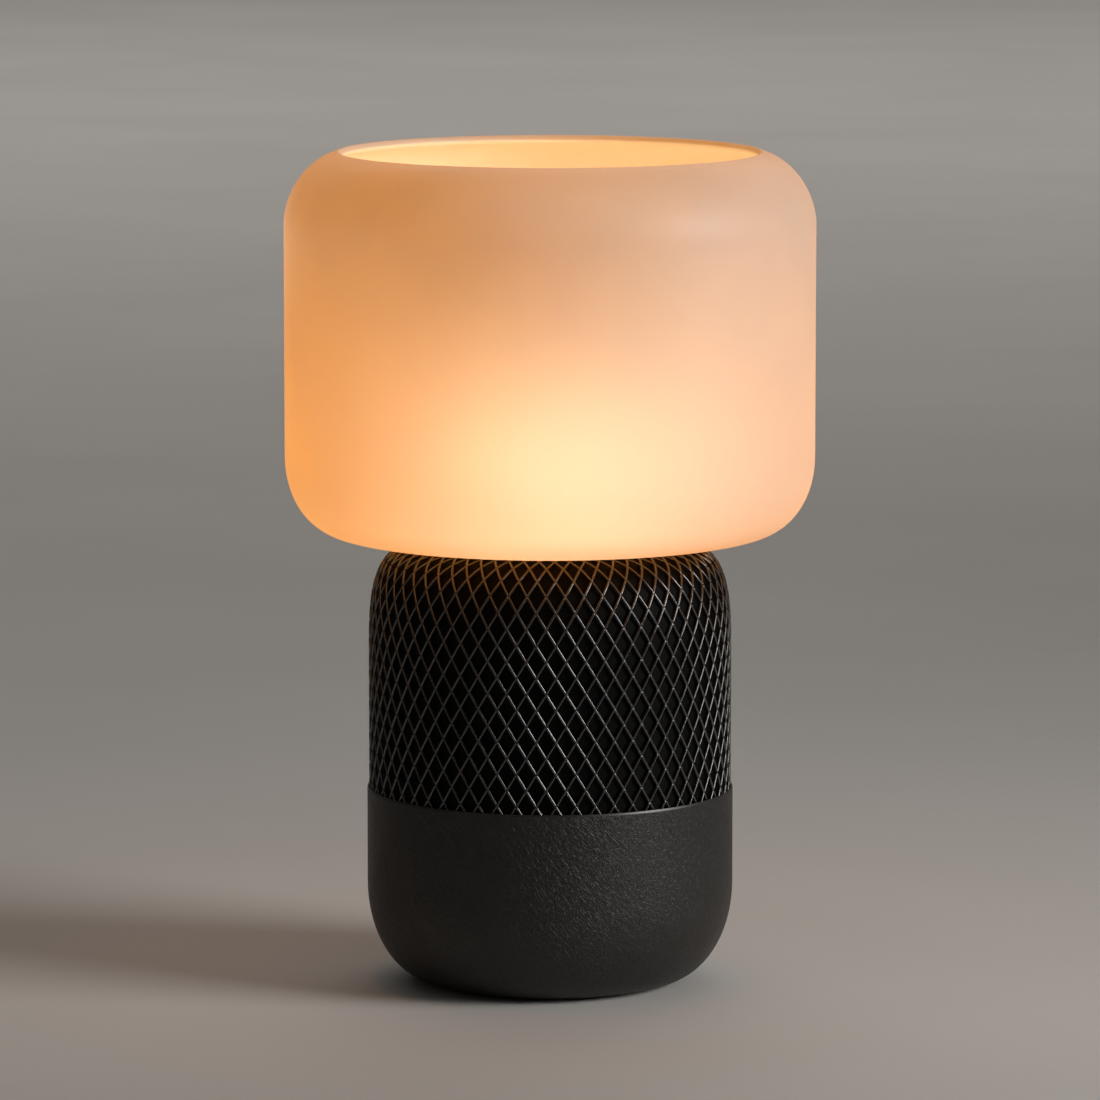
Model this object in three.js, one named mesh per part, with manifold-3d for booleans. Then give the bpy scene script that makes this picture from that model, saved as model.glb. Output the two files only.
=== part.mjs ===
// Table-lamp smart speaker: an opal glass shade on a round speaker body.
// Millimetres, +Z up. The origin is on the table, on the body's axis, and the front faces -Y.

import * as THREE from 'three';
import { mergeVertices } from 'three/addons/utils/BufferGeometryUtils.js';
import Module from 'manifold-3d';

const wasm = await Module();
wasm.setup();

// ---------------------------------------------------------------- driving dimensions

const GAP = 0.3;                    // clearance between neighbouring pieces
const ROUND_STEPS = 36;             // facets around the large shells
const MEDIUM_STEPS = 24;            // facets around the inner shells
const SMALL_STEPS = 16;             // facets around drivers and lamp parts
const FINE_STEPS = 8;               // facets around screws and buttons

const BODY = {
  radius: 80,                       // lower housing
  wall: 3,
  footRadius: 52.4,                 // where the bowl turns flat underneath
  footZ: 1,
  bowlTopZ: 43.3,                   // the bowl is straight above this height
  seamZ: 85.9,                      // joint between the housing and the grille
  flangeZ: 4.9,                     // inner flange that takes the cover screws
  flangeTopZ: 7.4,
  flangeRadius: 40,
};

const GRILLE = {
  radius: 79.7,
  wall: 1.6,
  baseZ: BODY.seamZ + GAP,
  shoulderZ: 143.8,
  topZ: 193.5,
  topRadius: 50,
  roundness: 3.34,                  // superellipse exponent of the shoulder
};

const SLEEVE = { inset: 2.3, wall: 1, baseZ: 88.5, innerEdge: 57 };

const COVER = { radius: 48.7, baseZ: 1.6, topZ: 4.6 };
const FOOT = { outer: 47.5, inner: 36, height: 1.3 };

const SHADE = {
  radius: 115.36,
  wall: 3.8,
  baseZ: 197.05,
  baseRadius: 88.6,
  lowZ: 231.8,                      // the side is straight from here
  highZ: 332.7,                     // up to here
  topZ: 363.6,
  topRadius: 89.1,
  lipRadius: 90.2,
  lowRoundness: 2.1,
  highRoundness: 1.82,
  holeRadius: 40,
};

const CAP = {
  spigotOuter: 36.6,
  spigotInner: 33,
  spigotTopZ: 204,
  deckZ: 188.5,
  deckTopZ: 191.5,
  rimRadius: 49.5,
  rimTopZ: 195,
  ledgeRadius: 54,
  holeRadius: 21.5,
};

const SOCKET = { radius: 20.8, bore: 17, baseZ: 150, floorZ: 153, topZ: 184 };

const BULB = {
  tipZ: SOCKET.floorZ + 2,
  capRadius: 13.2,
  capTopZ: 180,
  domeRadius: 30,
  domeCentreZ: 230,
  seamZ: 192,                       // the milky glass starts here
  seamRadius: 18.2,
};

const GASKET = { inner: 44, outer: 49.2 };
const FITTER = { bore: 37, tube: 39.6, flange: 43.6, baseZ: CAP.rimTopZ + 0.4, topZ: 206 };
const LOCK_RING = { outer: 48, height: 3.6 };

const ENCLOSURE = { radius: 71.3, wall: 3, baseZ: 84.5, topZ: 185, frontY: -53.7 };
const WELL = { radius: 22, wall: 2.5, floorZ: 148 };
const CONDUIT = { bore: 5, wall: 2 };
const BAFFLE = { back: 54, front: 57 };     // distances forward of the axis

// Driver sizes along the axis are distances forward of the body's axis.
const WOOFER = {
  z: 122,
  frameRadius: 34,
  frameFront: 58.8,
  holeRadius: 30.6,
  screwCircle: 32.3,
  rollCentre: 26,                   // of the surround's half roll
  rollRadius: 2.6,
  surroundWall: 0.7,
  surroundBack: 59.1,
  coneOuter: 22.1,
  coneInner: 8.3,
  coneFront: 59.6,
  coneBack: 48.4,
  coneWall: 1,
  coilOuter: 7.8,
  coilInner: 7,
  magnetOuter: 19,
  magnetInner: 9.2,
  magnetBack: 22.6,
  magnetFront: 30.9,
  poleRadius: 6.3,
};
const TWEETER = { z: 169.5, frameRadius: 12, frameFront: 59.5, holeRadius: 10.2, domeRadius: 7.6 };

const MAIN_BOARD = { width: 96, depth: 72, thickness: 1.6, z: 72 };
const POWER_BOARD = { width: 72, depth: 56, thickness: 1.6, z: 18 };

const REAR = {
  halfWidth: 33.6,
  lowZ: 46.4,
  highZ: 77.6,
  wall: 2,
  backY: 64.5,
  faceY: 67,
  outerRadius: 79.4,
};
const INLET = { x: -17, z: 62, width: 21, height: 12, backY: 50, frontY: 69.2, floorY: 56 };
const JACK = { x: 11, z: 62, width: 16, height: 13.6, backY: 47, frontY: 68.6, floorY: 54.6 };
const PAIR_BUTTON = { x: 26, z: 66, radius: 3 };
const STATUS_LIGHT = { x: 26, z: 56, radius: 1.3 };

const CONTROL_ANGLE = THREE.MathUtils.degToRad(52);   // from the rear, round to each side
const BUTTON = { radius: 5, flange: 6, back: 72.4, face: 81, pitch: 12.5, middleZ: 65 };
const ROCKER = {
  z: 65,
  pivot: 76.6,                      // distance of the pivot from the body's axis
  halfWidth: 8.2,
  height: 10,
  pinRadius: 1,
  restTilt: THREE.MathUtils.degToRad(-10),
};
const SWITCH = { width: 21.4, height: 13.4, pocketWidth: 18.6, pocketHeight: 10.6, back: 62, face: 80.4 };

// ---------------------------------------------------------------- finishes

const finishes = {
  opalGlass: { color: 0xf6dcb4, roughness: 0.45, metalness: 0 },
  lampDome: { color: 0xfff2dc, roughness: 0.5, metalness: 0 },
  whitePlastic: { color: 0xe8e6e0, roughness: 0.5, metalness: 0 },
  charcoal: { color: 0x1d1b1a, roughness: 0.6, metalness: 0 },
  satinBlack: { color: 0x121212, roughness: 0.45, metalness: 0 },
  innerBlack: { color: 0x0c0c0c, roughness: 0.7, metalness: 0 },
  rubber: { color: 0x161616, roughness: 0.9, metalness: 0 },
  silicone: { color: 0x2a2a2a, roughness: 0.8, metalness: 0 },
  nickel: { color: 0xbfc1c2, roughness: 0.3, metalness: 1 },
  brass: { color: 0xc7a253, roughness: 0.35, metalness: 1 },
  zinc: { color: 0x9fa2a4, roughness: 0.4, metalness: 1 },
  aluminium: { color: 0xb4b6b8, roughness: 0.4, metalness: 1 },
  ferrite: { color: 0x3a3a3c, roughness: 0.8, metalness: 0.2 },
  copper: { color: 0xb06a3a, roughness: 0.4, metalness: 1 },
  paperCone: { color: 0x20201f, roughness: 0.9, metalness: 0 },
  fabric: { color: 0xc9a25a, roughness: 0.9, metalness: 0 },
  circuitGreen: { color: 0x1c4a2a, roughness: 0.5, metalness: 0 },
  ceramic: { color: 0xdedad2, roughness: 0.5, metalness: 0 },
  transformerTape: { color: 0xd8b541, roughness: 0.6, metalness: 0 },
  capacitorSleeve: { color: 0x22304a, roughness: 0.4, metalness: 0 },
  clearLens: { color: 0xdfe8e8, roughness: 0.2, metalness: 0 },
  cable: { color: 0x303030, roughness: 0.7, metalness: 0 },
};

// ---------------------------------------------------------------- solids and booleans

// Merges shared corners and drops collapsed triangles, so that the surface is watertight.
function weld(geometry) {
  const bare = geometry.clone();
  bare.deleteAttribute('normal');
  bare.deleteAttribute('uv');
  const merged = mergeVertices(bare, 1e-4);
  const source = merged.index.array;
  const kept = [];
  for (let i = 0; i < source.length; i += 3) {
    const [a, b, c] = [source[i], source[i + 1], source[i + 2]];
    if (a !== b && b !== c && c !== a) kept.push(a, b, c);
  }
  merged.setIndex(kept);
  return merged;
}

function signedVolume(geometry) {
  const position = geometry.attributes.position;
  const index = geometry.index.array;
  const [a, b, c] = [new THREE.Vector3(), new THREE.Vector3(), new THREE.Vector3()];
  let volume = 0;
  for (let i = 0; i < index.length; i += 3) {
    a.fromBufferAttribute(position, index[i]);
    b.fromBufferAttribute(position, index[i + 1]);
    c.fromBufferAttribute(position, index[i + 2]);
    volume += a.dot(b.cross(c)) / 6;
  }
  return volume;
}

// A welded geometry whose faces point out.
function solid(geometry) {
  const welded = weld(geometry);
  if (signedVolume(welded) < 0) {
    const index = welded.index.array;
    for (let i = 0; i < index.length; i += 3) {
      [index[i + 1], index[i + 2]] = [index[i + 2], index[i + 1]];
    }
  }
  return welded;
}

function toManifold(geometry) {
  return new wasm.Manifold(new wasm.Mesh({
    numProp: 3,
    vertProperties: new Float32Array(geometry.attributes.position.array),
    triVerts: new Uint32Array(geometry.index.array),
  }));
}

function fromManifold(manifold) {
  const mesh = manifold.getMesh();
  const geometry = new THREE.BufferGeometry();
  geometry.setAttribute('position', new THREE.BufferAttribute(mesh.vertProperties, 3));
  geometry.setIndex(new THREE.BufferAttribute(mesh.triVerts, 1));
  return geometry;
}

function cut(geometry, ...tools) {
  return fromManifold(tools.reduce((left, tool) => left.subtract(toManifold(tool)), toManifold(geometry)));
}

function join(geometry, ...others) {
  return fromManifold(others.reduce((whole, other) => whole.add(toManifold(other)), toManifold(geometry)));
}

function common(geometry, other) {
  return fromManifold(toManifold(geometry).intersect(toManifold(other)));
}

// ---------------------------------------------------------------- basic shapes

// Revolves [radius, height] points about Z. A profile off the axis is closed on itself.
function revolve(profile, steps = SMALL_STEPS) {
  const points = profile.map(([radius, height]) => new THREE.Vector2(radius, height));
  const onAxis = profile[0][0] === 0 && profile.at(-1)[0] === 0;
  if (!onAxis) points.push(points[0].clone());
  return solid(new THREE.LatheGeometry(points, steps).rotateX(Math.PI / 2));
}

function cylinder(radius, lowZ, highZ, steps = FINE_STEPS) {
  return revolve([[0, lowZ], [radius, lowZ], [radius, highZ], [0, highZ]], steps);
}

function ring(inner, outer, lowZ, highZ, steps = SMALL_STEPS) {
  return revolve([[inner, lowZ], [outer, lowZ], [outer, highZ], [inner, highZ]], steps);
}

// A box between two corners.
function block([x0, y0, z0], [x1, y1, z1]) {
  const box = new THREE.BoxGeometry(x1 - x0, y1 - y0, z1 - z0);
  return solid(box.translate((x0 + x1) / 2, (y0 + y1) / 2, (z0 + z1) / 2));
}

// A flattened oval of the given width and height, pushed along Y.
function ovalPrism(width, height, y0, y1, x = 0, z = 0) {
  const radius = height / 2;
  const straight = (width - height) / 2;
  const outline = new THREE.Shape();
  outline.absarc(straight, 0, radius, -Math.PI / 2, Math.PI / 2, false);
  outline.absarc(-straight, 0, radius, Math.PI / 2, 1.5 * Math.PI, false);
  const prism = new THREE.ExtrudeGeometry(outline, { depth: y1 - y0, bevelEnabled: false, curveSegments: 8 });
  return solid(prism.rotateX(Math.PI / 2).translate(x, y1, z));
}

// Quarter of a superellipse from [r0, z0], where it is vertical, to [r1, z1], where it is level.
function shoulder([r0, z0], [r1, z1], exponent, steps) {
  return Array.from({ length: steps + 1 }, (_, i) => {
    const angle = (i / steps) * (Math.PI / 2);
    const across = Math.cos(angle) ** (2 / exponent);
    const along = Math.sin(angle) ** (2 / exponent);
    return [r1 + (r0 - r1) * across, z0 + (z1 - z0) * along];
  });
}

// Points of a circle's arc in the profile plane, angles in degrees.
function arc([r, z], radius, from, to, steps) {
  return Array.from({ length: steps + 1 }, (_, i) => {
    const angle = THREE.MathUtils.degToRad(from + ((to - from) * i) / steps);
    return [r + radius * Math.cos(angle), z + radius * Math.sin(angle)];
  });
}

// ---------------------------------------------------------------- the scene graph

const speaker = new THREE.Group();

function group(parent, position = [0, 0, 0], rotation = [0, 0, 0]) {
  const child = new THREE.Group();
  child.position.set(...position);
  child.rotation.set(...rotation);
  parent.add(child);
  return child;
}

function piece(parent, name, geometry, finish, position = [0, 0, 0], rotation = [0, 0, 0]) {
  const mesh = new THREE.Mesh(geometry, new THREE.MeshStandardMaterial(finishes[finish]));
  mesh.name = name;
  mesh.position.set(...position);
  mesh.rotation.set(...rotation);
  parent.add(mesh);
  return mesh;
}

// Groups whose own +Z points forward (-Y), and whose +Z points to the rear (+Y).
const FACING_FRONT = [Math.PI / 2, 0, 0];
const FACING_REAR = [-Math.PI / 2, 0, 0];

// Groups turned round the axis, so that their own +Y points out through the side of the body.
const buttonSide = group(speaker, [0, 0, 0], [0, 0, -CONTROL_ANGLE]);
const rockerSide = group(speaker, [0, 0, 0], [0, 0, CONTROL_ANGLE]);

const buttonHeights = {
  button_volume_up: BUTTON.middleZ + BUTTON.pitch,
  button_play: BUTTON.middleZ,
  button_volume_down: BUTTON.middleZ - BUTTON.pitch,
};

const quarterAngles = [45, 135, 225, 315].map(THREE.MathUtils.degToRad);
const coverScrewSpots = quarterAngles.map((angle) => [44.5 * Math.cos(angle), 44.5 * Math.sin(angle)]);

// ---------------------------------------------------------------- lower housing, cover and foot

// Tools that cut the three button holes and the switch window, turned to their sides.
function controlCutters() {
  const holes = Object.values(buttonHeights).map((z) =>
    cylinder(BUTTON.radius + 0.35, 60, 90, SMALL_STEPS)
      .rotateX(-Math.PI / 2)
      .translate(0, 0, z)
      .rotateZ(-CONTROL_ANGLE));
  const halfWidth = SWITCH.width / 2 + GAP;
  const halfHeight = SWITCH.height / 2 + GAP;
  const window = block([-halfWidth, 60, ROCKER.z - halfHeight], [halfWidth, 90, ROCKER.z + halfHeight]);
  return [...holes, window.rotateZ(CONTROL_ANGLE)];
}

function lowerHousing() {
  const chamfer = 0.6;
  const inner = BODY.radius - BODY.wall;
  const outside = shoulder([BODY.radius, BODY.bowlTopZ], [BODY.footRadius, BODY.footZ], 2, 6).reverse();
  const inside = shoulder([inner, BODY.bowlTopZ], [BODY.footRadius, BODY.flangeTopZ], 2, 4);
  const shell = revolve([
    [COVER.radius + GAP, BODY.footZ],
    ...outside,
    [BODY.radius, BODY.seamZ - chamfer],
    [BODY.radius - chamfer, BODY.seamZ],
    [inner, BODY.seamZ],
    ...inside,
    [BODY.flangeRadius, BODY.flangeTopZ],
    [BODY.flangeRadius, BODY.flangeZ],
    [COVER.radius + GAP, BODY.flangeZ],
  ], ROUND_STEPS);
  const rearWindow = block(
    [-REAR.halfWidth - GAP, 50, REAR.lowZ - GAP],
    [REAR.halfWidth + GAP, 100, REAR.highZ + GAP],
  );
  const screwHoles = coverScrewSpots.map(([x, y]) => cylinder(1.7, 0, 20).translate(x, y, 0));
  return cut(shell, rearWindow, ...controlCutters(), ...screwHoles);
}

function bottomCover() {
  const plate = cylinder(COVER.radius, COVER.baseZ, COVER.topZ, ROUND_STEPS);
  const bossTop = POWER_BOARD.z - GAP;
  const bosses = [[-28, -20], [28, -20], [28, 20], [-28, 20]].map(([x, y]) =>
    cylinder(3.4, COVER.topZ - 1, bossTop).translate(x, y, 0));
  const screwHoles = coverScrewSpots.flatMap(([x, y]) => [
    cylinder(1.7, 0, 20).translate(x, y, 0),
    cylinder(2.9, 0, 3.5).translate(x, y, 0),
  ]);
  return cut(join(plate, ...bosses), ...screwHoles);
}

piece(speaker, 'lower_housing', lowerHousing(), 'charcoal');
piece(speaker, 'bottom_cover', bottomCover(), 'innerBlack');
piece(speaker, 'foot_ring', ring(FOOT.inner, FOOT.outer, 0, FOOT.height, ROUND_STEPS), 'rubber');

const coverScrew = revolve([[0, 0], [2.6, 0], [2.6, 1.5], [1.4, 1.5], [1.4, 8.4], [0, 9.2]], FINE_STEPS);
coverScrewSpots.forEach(([x, y], i) => {
  piece(speaker, `cover_screw_${i + 1}`, coverScrew, 'zinc', [x, y, COVER.baseZ + 0.1]);
});

// ---------------------------------------------------------------- grille and sleeve

// The grille's outline from its base to its top edge, moved inwards by the inset.
function grilleOutline(inset, baseZ, innerEdge, steps) {
  const curve = shoulder(
    [GRILLE.radius - inset, GRILLE.shoulderZ],
    [GRILLE.topRadius, GRILLE.topZ - inset],
    GRILLE.roundness,
    steps,
  );
  const kept = curve.filter(([radius]) => radius > innerEdge + 0.5);
  return [[GRILLE.radius - inset, baseZ], ...kept, [innerEdge, GRILLE.topZ - inset]];
}

function shellBetween(outer, inner, steps) {
  return revolve([...outer, ...inner.reverse()], steps);
}

piece(speaker, 'grille_mesh', shellBetween(
  grilleOutline(0, GRILLE.baseZ, GRILLE.topRadius, 7),
  grilleOutline(GRILLE.wall, GRILLE.baseZ, GRILLE.topRadius, 7),
  ROUND_STEPS,
), 'satinBlack');

piece(speaker, 'acoustic_sleeve', shellBetween(
  grilleOutline(SLEEVE.inset, SLEEVE.baseZ, SLEEVE.innerEdge, 7),
  grilleOutline(SLEEVE.inset + SLEEVE.wall, SLEEVE.baseZ, SLEEVE.innerEdge, 7),
  ROUND_STEPS,
), 'innerBlack');

// ---------------------------------------------------------------- top cap and lamp socket

piece(speaker, 'top_cap', revolve([
  [CAP.spigotInner, CAP.spigotTopZ],
  [CAP.spigotInner, CAP.deckTopZ],
  [CAP.holeRadius, CAP.deckTopZ],
  [CAP.holeRadius, CAP.deckZ],
  [CAP.ledgeRadius, CAP.deckZ],
  [CAP.ledgeRadius, CAP.deckTopZ],
  [CAP.rimRadius, CAP.deckTopZ],
  [CAP.rimRadius, CAP.rimTopZ],
  [CAP.spigotOuter, CAP.rimTopZ],
  [CAP.spigotOuter, CAP.spigotTopZ],
], MEDIUM_STEPS), 'satinBlack');

const gasket = ring(GASKET.inner, GASKET.outer, CAP.rimTopZ + GAP, SHADE.baseZ - GAP, MEDIUM_STEPS);
piece(speaker, 'shade_gasket', gasket, 'silicone');

piece(speaker, 'socket_shell', revolve([
  [0, SOCKET.baseZ],
  [SOCKET.radius, SOCKET.baseZ],
  [SOCKET.radius, SOCKET.topZ],
  [SOCKET.bore, SOCKET.topZ],
  [SOCKET.bore, SOCKET.floorZ],
  [0, SOCKET.floorZ],
]), 'ceramic');

piece(speaker, 'socket_sleeve', ring(14, SOCKET.bore - 0.4, SOCKET.floorZ + 4, SOCKET.topZ - 4.5), 'brass');
piece(speaker, 'socket_contact', cylinder(5, SOCKET.floorZ + GAP, BULB.tipZ - 0.4), 'brass');

// ---------------------------------------------------------------- light bulb

const bulb = group(speaker);

piece(bulb, 'bulb_cap', revolve([
  [0, BULB.tipZ],
  [4, BULB.tipZ],
  [5.5, BULB.tipZ + 2.5],
  [12.2, BULB.tipZ + 4],
  [BULB.capRadius, BULB.tipZ + 5.5],
  [BULB.capRadius, BULB.capTopZ],
  [0, BULB.capTopZ],
]), 'nickel');

piece(bulb, 'bulb_body', revolve([
  [0, BULB.capTopZ + GAP],
  [14.2, BULB.capTopZ + GAP],
  [15.5, BULB.capTopZ + 4],
  [BULB.seamRadius, BULB.seamZ],
  [0, BULB.seamZ],
]), 'whitePlastic');

// A pear-shaped glass: it widens from the seam into a ball.
function bulbDome() {
  const ball = arc([0, BULB.domeCentreZ], BULB.domeRadius, -20, 90, 9);
  ball.at(-1)[0] = 0;
  return revolve([
    [0, BULB.seamZ + GAP],
    [BULB.seamRadius, BULB.seamZ + GAP],
    [20.4, BULB.seamZ + 6],
    [24.6, BULB.seamZ + 17],
    ...ball,
  ]);
}

piece(bulb, 'bulb_dome', bulbDome(), 'lampDome');

// ---------------------------------------------------------------- shade

// The glass's lower and upper shoulders at an inset from its outside.
function lowShoulder(inset, steps) {
  const { radius, lowZ, baseRadius, baseZ, lowRoundness } = SHADE;
  return shoulder([radius - inset, lowZ], [baseRadius, baseZ + inset], lowRoundness, steps);
}

function highShoulder(inset, steps) {
  const { radius, highZ, topRadius, topZ, highRoundness } = SHADE;
  return shoulder([radius - inset, highZ], [topRadius, topZ - inset], highRoundness, steps);
}

function glassShade() {
  const lipEdge = SHADE.lipRadius + 2;
  const beyondLip = ([radius]) => radius > lipEdge + 1;
  const rim = [
    [lipEdge, SHADE.topZ],
    [SHADE.lipRadius + 0.6, SHADE.topZ - 0.7],
    [SHADE.lipRadius, SHADE.topZ - SHADE.wall / 2],
    [SHADE.lipRadius + 0.6, SHADE.topZ - SHADE.wall + 0.7],
    [lipEdge, SHADE.topZ - SHADE.wall],
  ];
  return revolve([
    [SHADE.holeRadius, SHADE.baseZ],
    ...lowShoulder(0, 5).reverse(),
    ...highShoulder(0, 6).filter(beyondLip),
    ...rim,
    ...highShoulder(SHADE.wall, 5).filter(beyondLip).reverse(),
    ...lowShoulder(SHADE.wall, 4),
    [SHADE.holeRadius, SHADE.baseZ + SHADE.wall],
  ], ROUND_STEPS);
}

const shade = group(speaker);

piece(shade, 'glass_shade', glassShade(), 'opalGlass');

piece(shade, 'shade_fitter', revolve([
  [FITTER.bore, FITTER.baseZ],
  [FITTER.flange, FITTER.baseZ],
  [FITTER.flange, SHADE.baseZ - GAP],
  [FITTER.tube, SHADE.baseZ - GAP],
  [FITTER.tube, FITTER.topZ],
  [FITTER.bore, FITTER.topZ],
], MEDIUM_STEPS), 'satinBlack');

const lockRingZ = SHADE.baseZ + SHADE.wall + GAP;
piece(shade, 'shade_lock_ring', ring(
  FITTER.tube + GAP, LOCK_RING.outer, lockRingZ, lockRingZ + LOCK_RING.height, MEDIUM_STEPS,
), 'satinBlack');

// ---------------------------------------------------------------- speaker enclosure

const enclosureEnvelope = [
  [ENCLOSURE.radius, ENCLOSURE.baseZ],
  [ENCLOSURE.radius, 168],
  [69.5, 176],
  [64, 183.2],
  [60, ENCLOSURE.topZ],
];

function speakerEnclosure() {
  const { wall, baseZ, topZ, frontY } = ENCLOSURE;
  const outside = revolve([
    [CONDUIT.bore, baseZ],
    ...enclosureEnvelope,
    [WELL.radius, topZ],
    [WELL.radius, WELL.floorZ],
    [CONDUIT.bore, WELL.floorZ],
  ], MEDIUM_STEPS);
  const wellOuter = WELL.radius + WELL.wall;
  const conduitOuter = CONDUIT.bore + CONDUIT.wall;
  const airSpace = revolve([
    [conduitOuter, baseZ + wall],
    [ENCLOSURE.radius - wall, baseZ + wall],
    [ENCLOSURE.radius - wall, 167],
    [66.5, 174.5],
    [61.5, 180.6],
    [58, topZ - wall],
    [wellOuter, topZ - wall],
    [wellOuter, WELL.floorZ - wall],
    [conduitOuter, WELL.floorZ - wall],
  ], MEDIUM_STEPS);
  const front = block([-90, -90, 80], [90, frontY, 190]);
  const posts = [[-42, -30], [42, -30], [42, 30], [-42, 30]].map(([x, y]) =>
    cylinder(3, MAIN_BOARD.z + MAIN_BOARD.thickness + GAP, baseZ + 1).translate(x, y, 0));
  return join(cut(outside, airSpace, front), ...posts);
}

const wooferScrewSpots = quarterAngles.map((angle) => [
  WOOFER.screwCircle * Math.cos(angle),
  WOOFER.z + WOOFER.screwCircle * Math.sin(angle),
]);

function frontBaffle() {
  const plate = block([-70, -BAFFLE.front, 80], [70, -BAFFLE.back, 190]);
  const envelope = revolve([[0, ENCLOSURE.baseZ], ...enclosureEnvelope, [0, ENCLOSURE.topZ]], MEDIUM_STEPS);
  const forward = (shape, z) => shape.rotateX(Math.PI / 2).translate(0, 0, z);
  const screwHoles = wooferScrewSpots.map(([x, z]) => forward(cylinder(1.3, 50, 60), z).translate(x, 0, 0));
  return cut(
    common(plate, envelope),
    forward(cylinder(WOOFER.holeRadius, 50, 60, SMALL_STEPS), WOOFER.z),
    forward(cylinder(TWEETER.holeRadius, 50, 60, SMALL_STEPS), TWEETER.z),
    ...screwHoles,
  );
}

piece(speaker, 'speaker_enclosure', speakerEnclosure(), 'innerBlack');
piece(speaker, 'front_baffle', frontBaffle(), 'innerBlack');

// ---------------------------------------------------------------- woofer

// Profiles are [radius, distance forward of the body's axis].
const woofer = group(speaker, [0, 0, WOOFER.z], FACING_FRONT);

function wooferBasket() {
  const shell = revolve([
    [WOOFER.frameRadius, BAFFLE.front + GAP],
    [WOOFER.frameRadius, WOOFER.frameFront],
    [29.2, WOOFER.frameFront],
    [28.6, 56],
    [28.6, 52.5],
    [17.5, 33],
    [8.6, 33],
    [8.6, 31.2],
    [19, 31.2],
    [30.1, 51.5],
    [30.1, BAFFLE.front + GAP],
  ]);
  const screwHoles = quarterAngles.map((angle) =>
    cylinder(1.3, 50, 65).translate(
      WOOFER.screwCircle * Math.cos(angle),
      WOOFER.screwCircle * Math.sin(angle),
      0,
    ));
  return cut(shell, ...screwHoles);
}

// A half roll of rubber between the cone's edge and the basket.
function surroundProfile() {
  const { rollCentre, rollRadius, surroundWall, surroundBack } = WOOFER;
  const front = surroundBack + surroundWall;
  return [
    [29.9, surroundBack],
    [29.9, front],
    ...arc([rollCentre, front], rollRadius, 0, 180, 4),
    [22.4, front],
    [22.4, surroundBack],
    ...arc([rollCentre, surroundBack], rollRadius - surroundWall, 180, 0, 4),
  ];
}

// A corrugated disc that centres the voice coil.
function spiderProfile() {
  const folds = 6;
  const edge = (lift) => Array.from({ length: folds + 1 }, (_, i) => [
    8.2 + (12.4 * i) / folds,
    40 + lift + (i % 2) * 0.9,
  ]);
  return [...edge(0), ...edge(0.7).reverse()];
}

piece(woofer, 'woofer_basket', wooferBasket(), 'zinc');
piece(woofer, 'woofer_magnet', ring(
  WOOFER.magnetInner, WOOFER.magnetOuter, WOOFER.magnetBack, WOOFER.magnetFront,
), 'ferrite');
piece(woofer, 'woofer_yoke', revolve([
  [0, WOOFER.magnetBack - GAP - 3],
  [WOOFER.magnetOuter, WOOFER.magnetBack - GAP - 3],
  [WOOFER.magnetOuter, WOOFER.magnetBack - GAP],
  [WOOFER.poleRadius, WOOFER.magnetBack - GAP],
  [WOOFER.poleRadius, 32.5],
  [0, 32.5],
]), 'zinc');
piece(woofer, 'woofer_surround', revolve(surroundProfile()), 'rubber');
piece(woofer, 'woofer_spider', revolve(spiderProfile(), SMALL_STEPS), 'fabric');

const wooferDrive = group(woofer);
piece(wooferDrive, 'woofer_cone', revolve([
  [WOOFER.coneOuter, WOOFER.coneFront],
  [WOOFER.coneInner, WOOFER.coneBack],
  [WOOFER.coneInner, WOOFER.coneBack - WOOFER.coneWall],
  [WOOFER.coneOuter, WOOFER.coneFront - WOOFER.coneWall],
]), 'paperCone');
const coilFront = WOOFER.coneBack - 0.7;
piece(wooferDrive, 'voice_coil', ring(WOOFER.coilInner, WOOFER.coilOuter, 27, coilFront), 'copper');
piece(wooferDrive, 'dust_cap', revolve([
  [0, 51.6],
  [4, 51],
  [7.9, 48.8],
  [7.9, 48],
  [4, 50.2],
  [0, 50.8],
]), 'paperCone');

const wooferScrew = revolve([[0, 60.6], [2, 60.1], [2, 59.1], [1, 59.1], [1, 54.6], [0, 54.2]], FINE_STEPS);
quarterAngles.forEach((angle, i) => {
  const spot = [WOOFER.screwCircle * Math.cos(angle), WOOFER.screwCircle * Math.sin(angle), 0];
  piece(woofer, `woofer_screw_${i + 1}`, wooferScrew, 'zinc', spot);
});

// ---------------------------------------------------------------- tweeter

const tweeter = group(speaker, [0, 0, TWEETER.z], FACING_FRONT);

piece(tweeter, 'tweeter_frame', revolve([
  [TWEETER.frameRadius, BAFFLE.front + GAP],
  [TWEETER.frameRadius, TWEETER.frameFront],
  [TWEETER.holeRadius, TWEETER.frameFront],
  [8.2, 57.4],
  [8.2, 50],
  [9.8, 50],
  [9.8, BAFFLE.front + GAP],
]), 'innerBlack');

piece(tweeter, 'tweeter_magnet', cylinder(7.8, 43, 53.5, SMALL_STEPS), 'ferrite');

piece(group(tweeter), 'tweeter_dome', revolve([
  [0, 58.6],
  [4, 57.8],
  [TWEETER.domeRadius, 55.4],
  [TWEETER.domeRadius, 54.6],
  [4, 57],
  [0, 57.8],
]), 'fabric');

// ---------------------------------------------------------------- electronics

function boardBlock({ width, depth, thickness, z }) {
  return block([-width / 2, -depth / 2, z], [width / 2, depth / 2, z + thickness]);
}

// A comb of fins under a base plate, pushed along Y.
function heatSink() {
  const base = block([-22, -16, 3], [22, 16, 6]);
  const fins = Array.from({ length: 8 }, (_, i) => {
    const x = -22 + i * 6;
    return block([x, -16, -7], [x + 2, 16, 4]);
  });
  return join(base, ...fins);
}

piece(speaker, 'main_board', boardBlock(MAIN_BOARD), 'circuitGreen');
piece(speaker, 'heat_sink', heatSink(), 'aluminium', [0, 0, MAIN_BOARD.z - 6 - GAP]);
piece(speaker, 'power_board', boardBlock(POWER_BOARD), 'circuitGreen');

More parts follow.
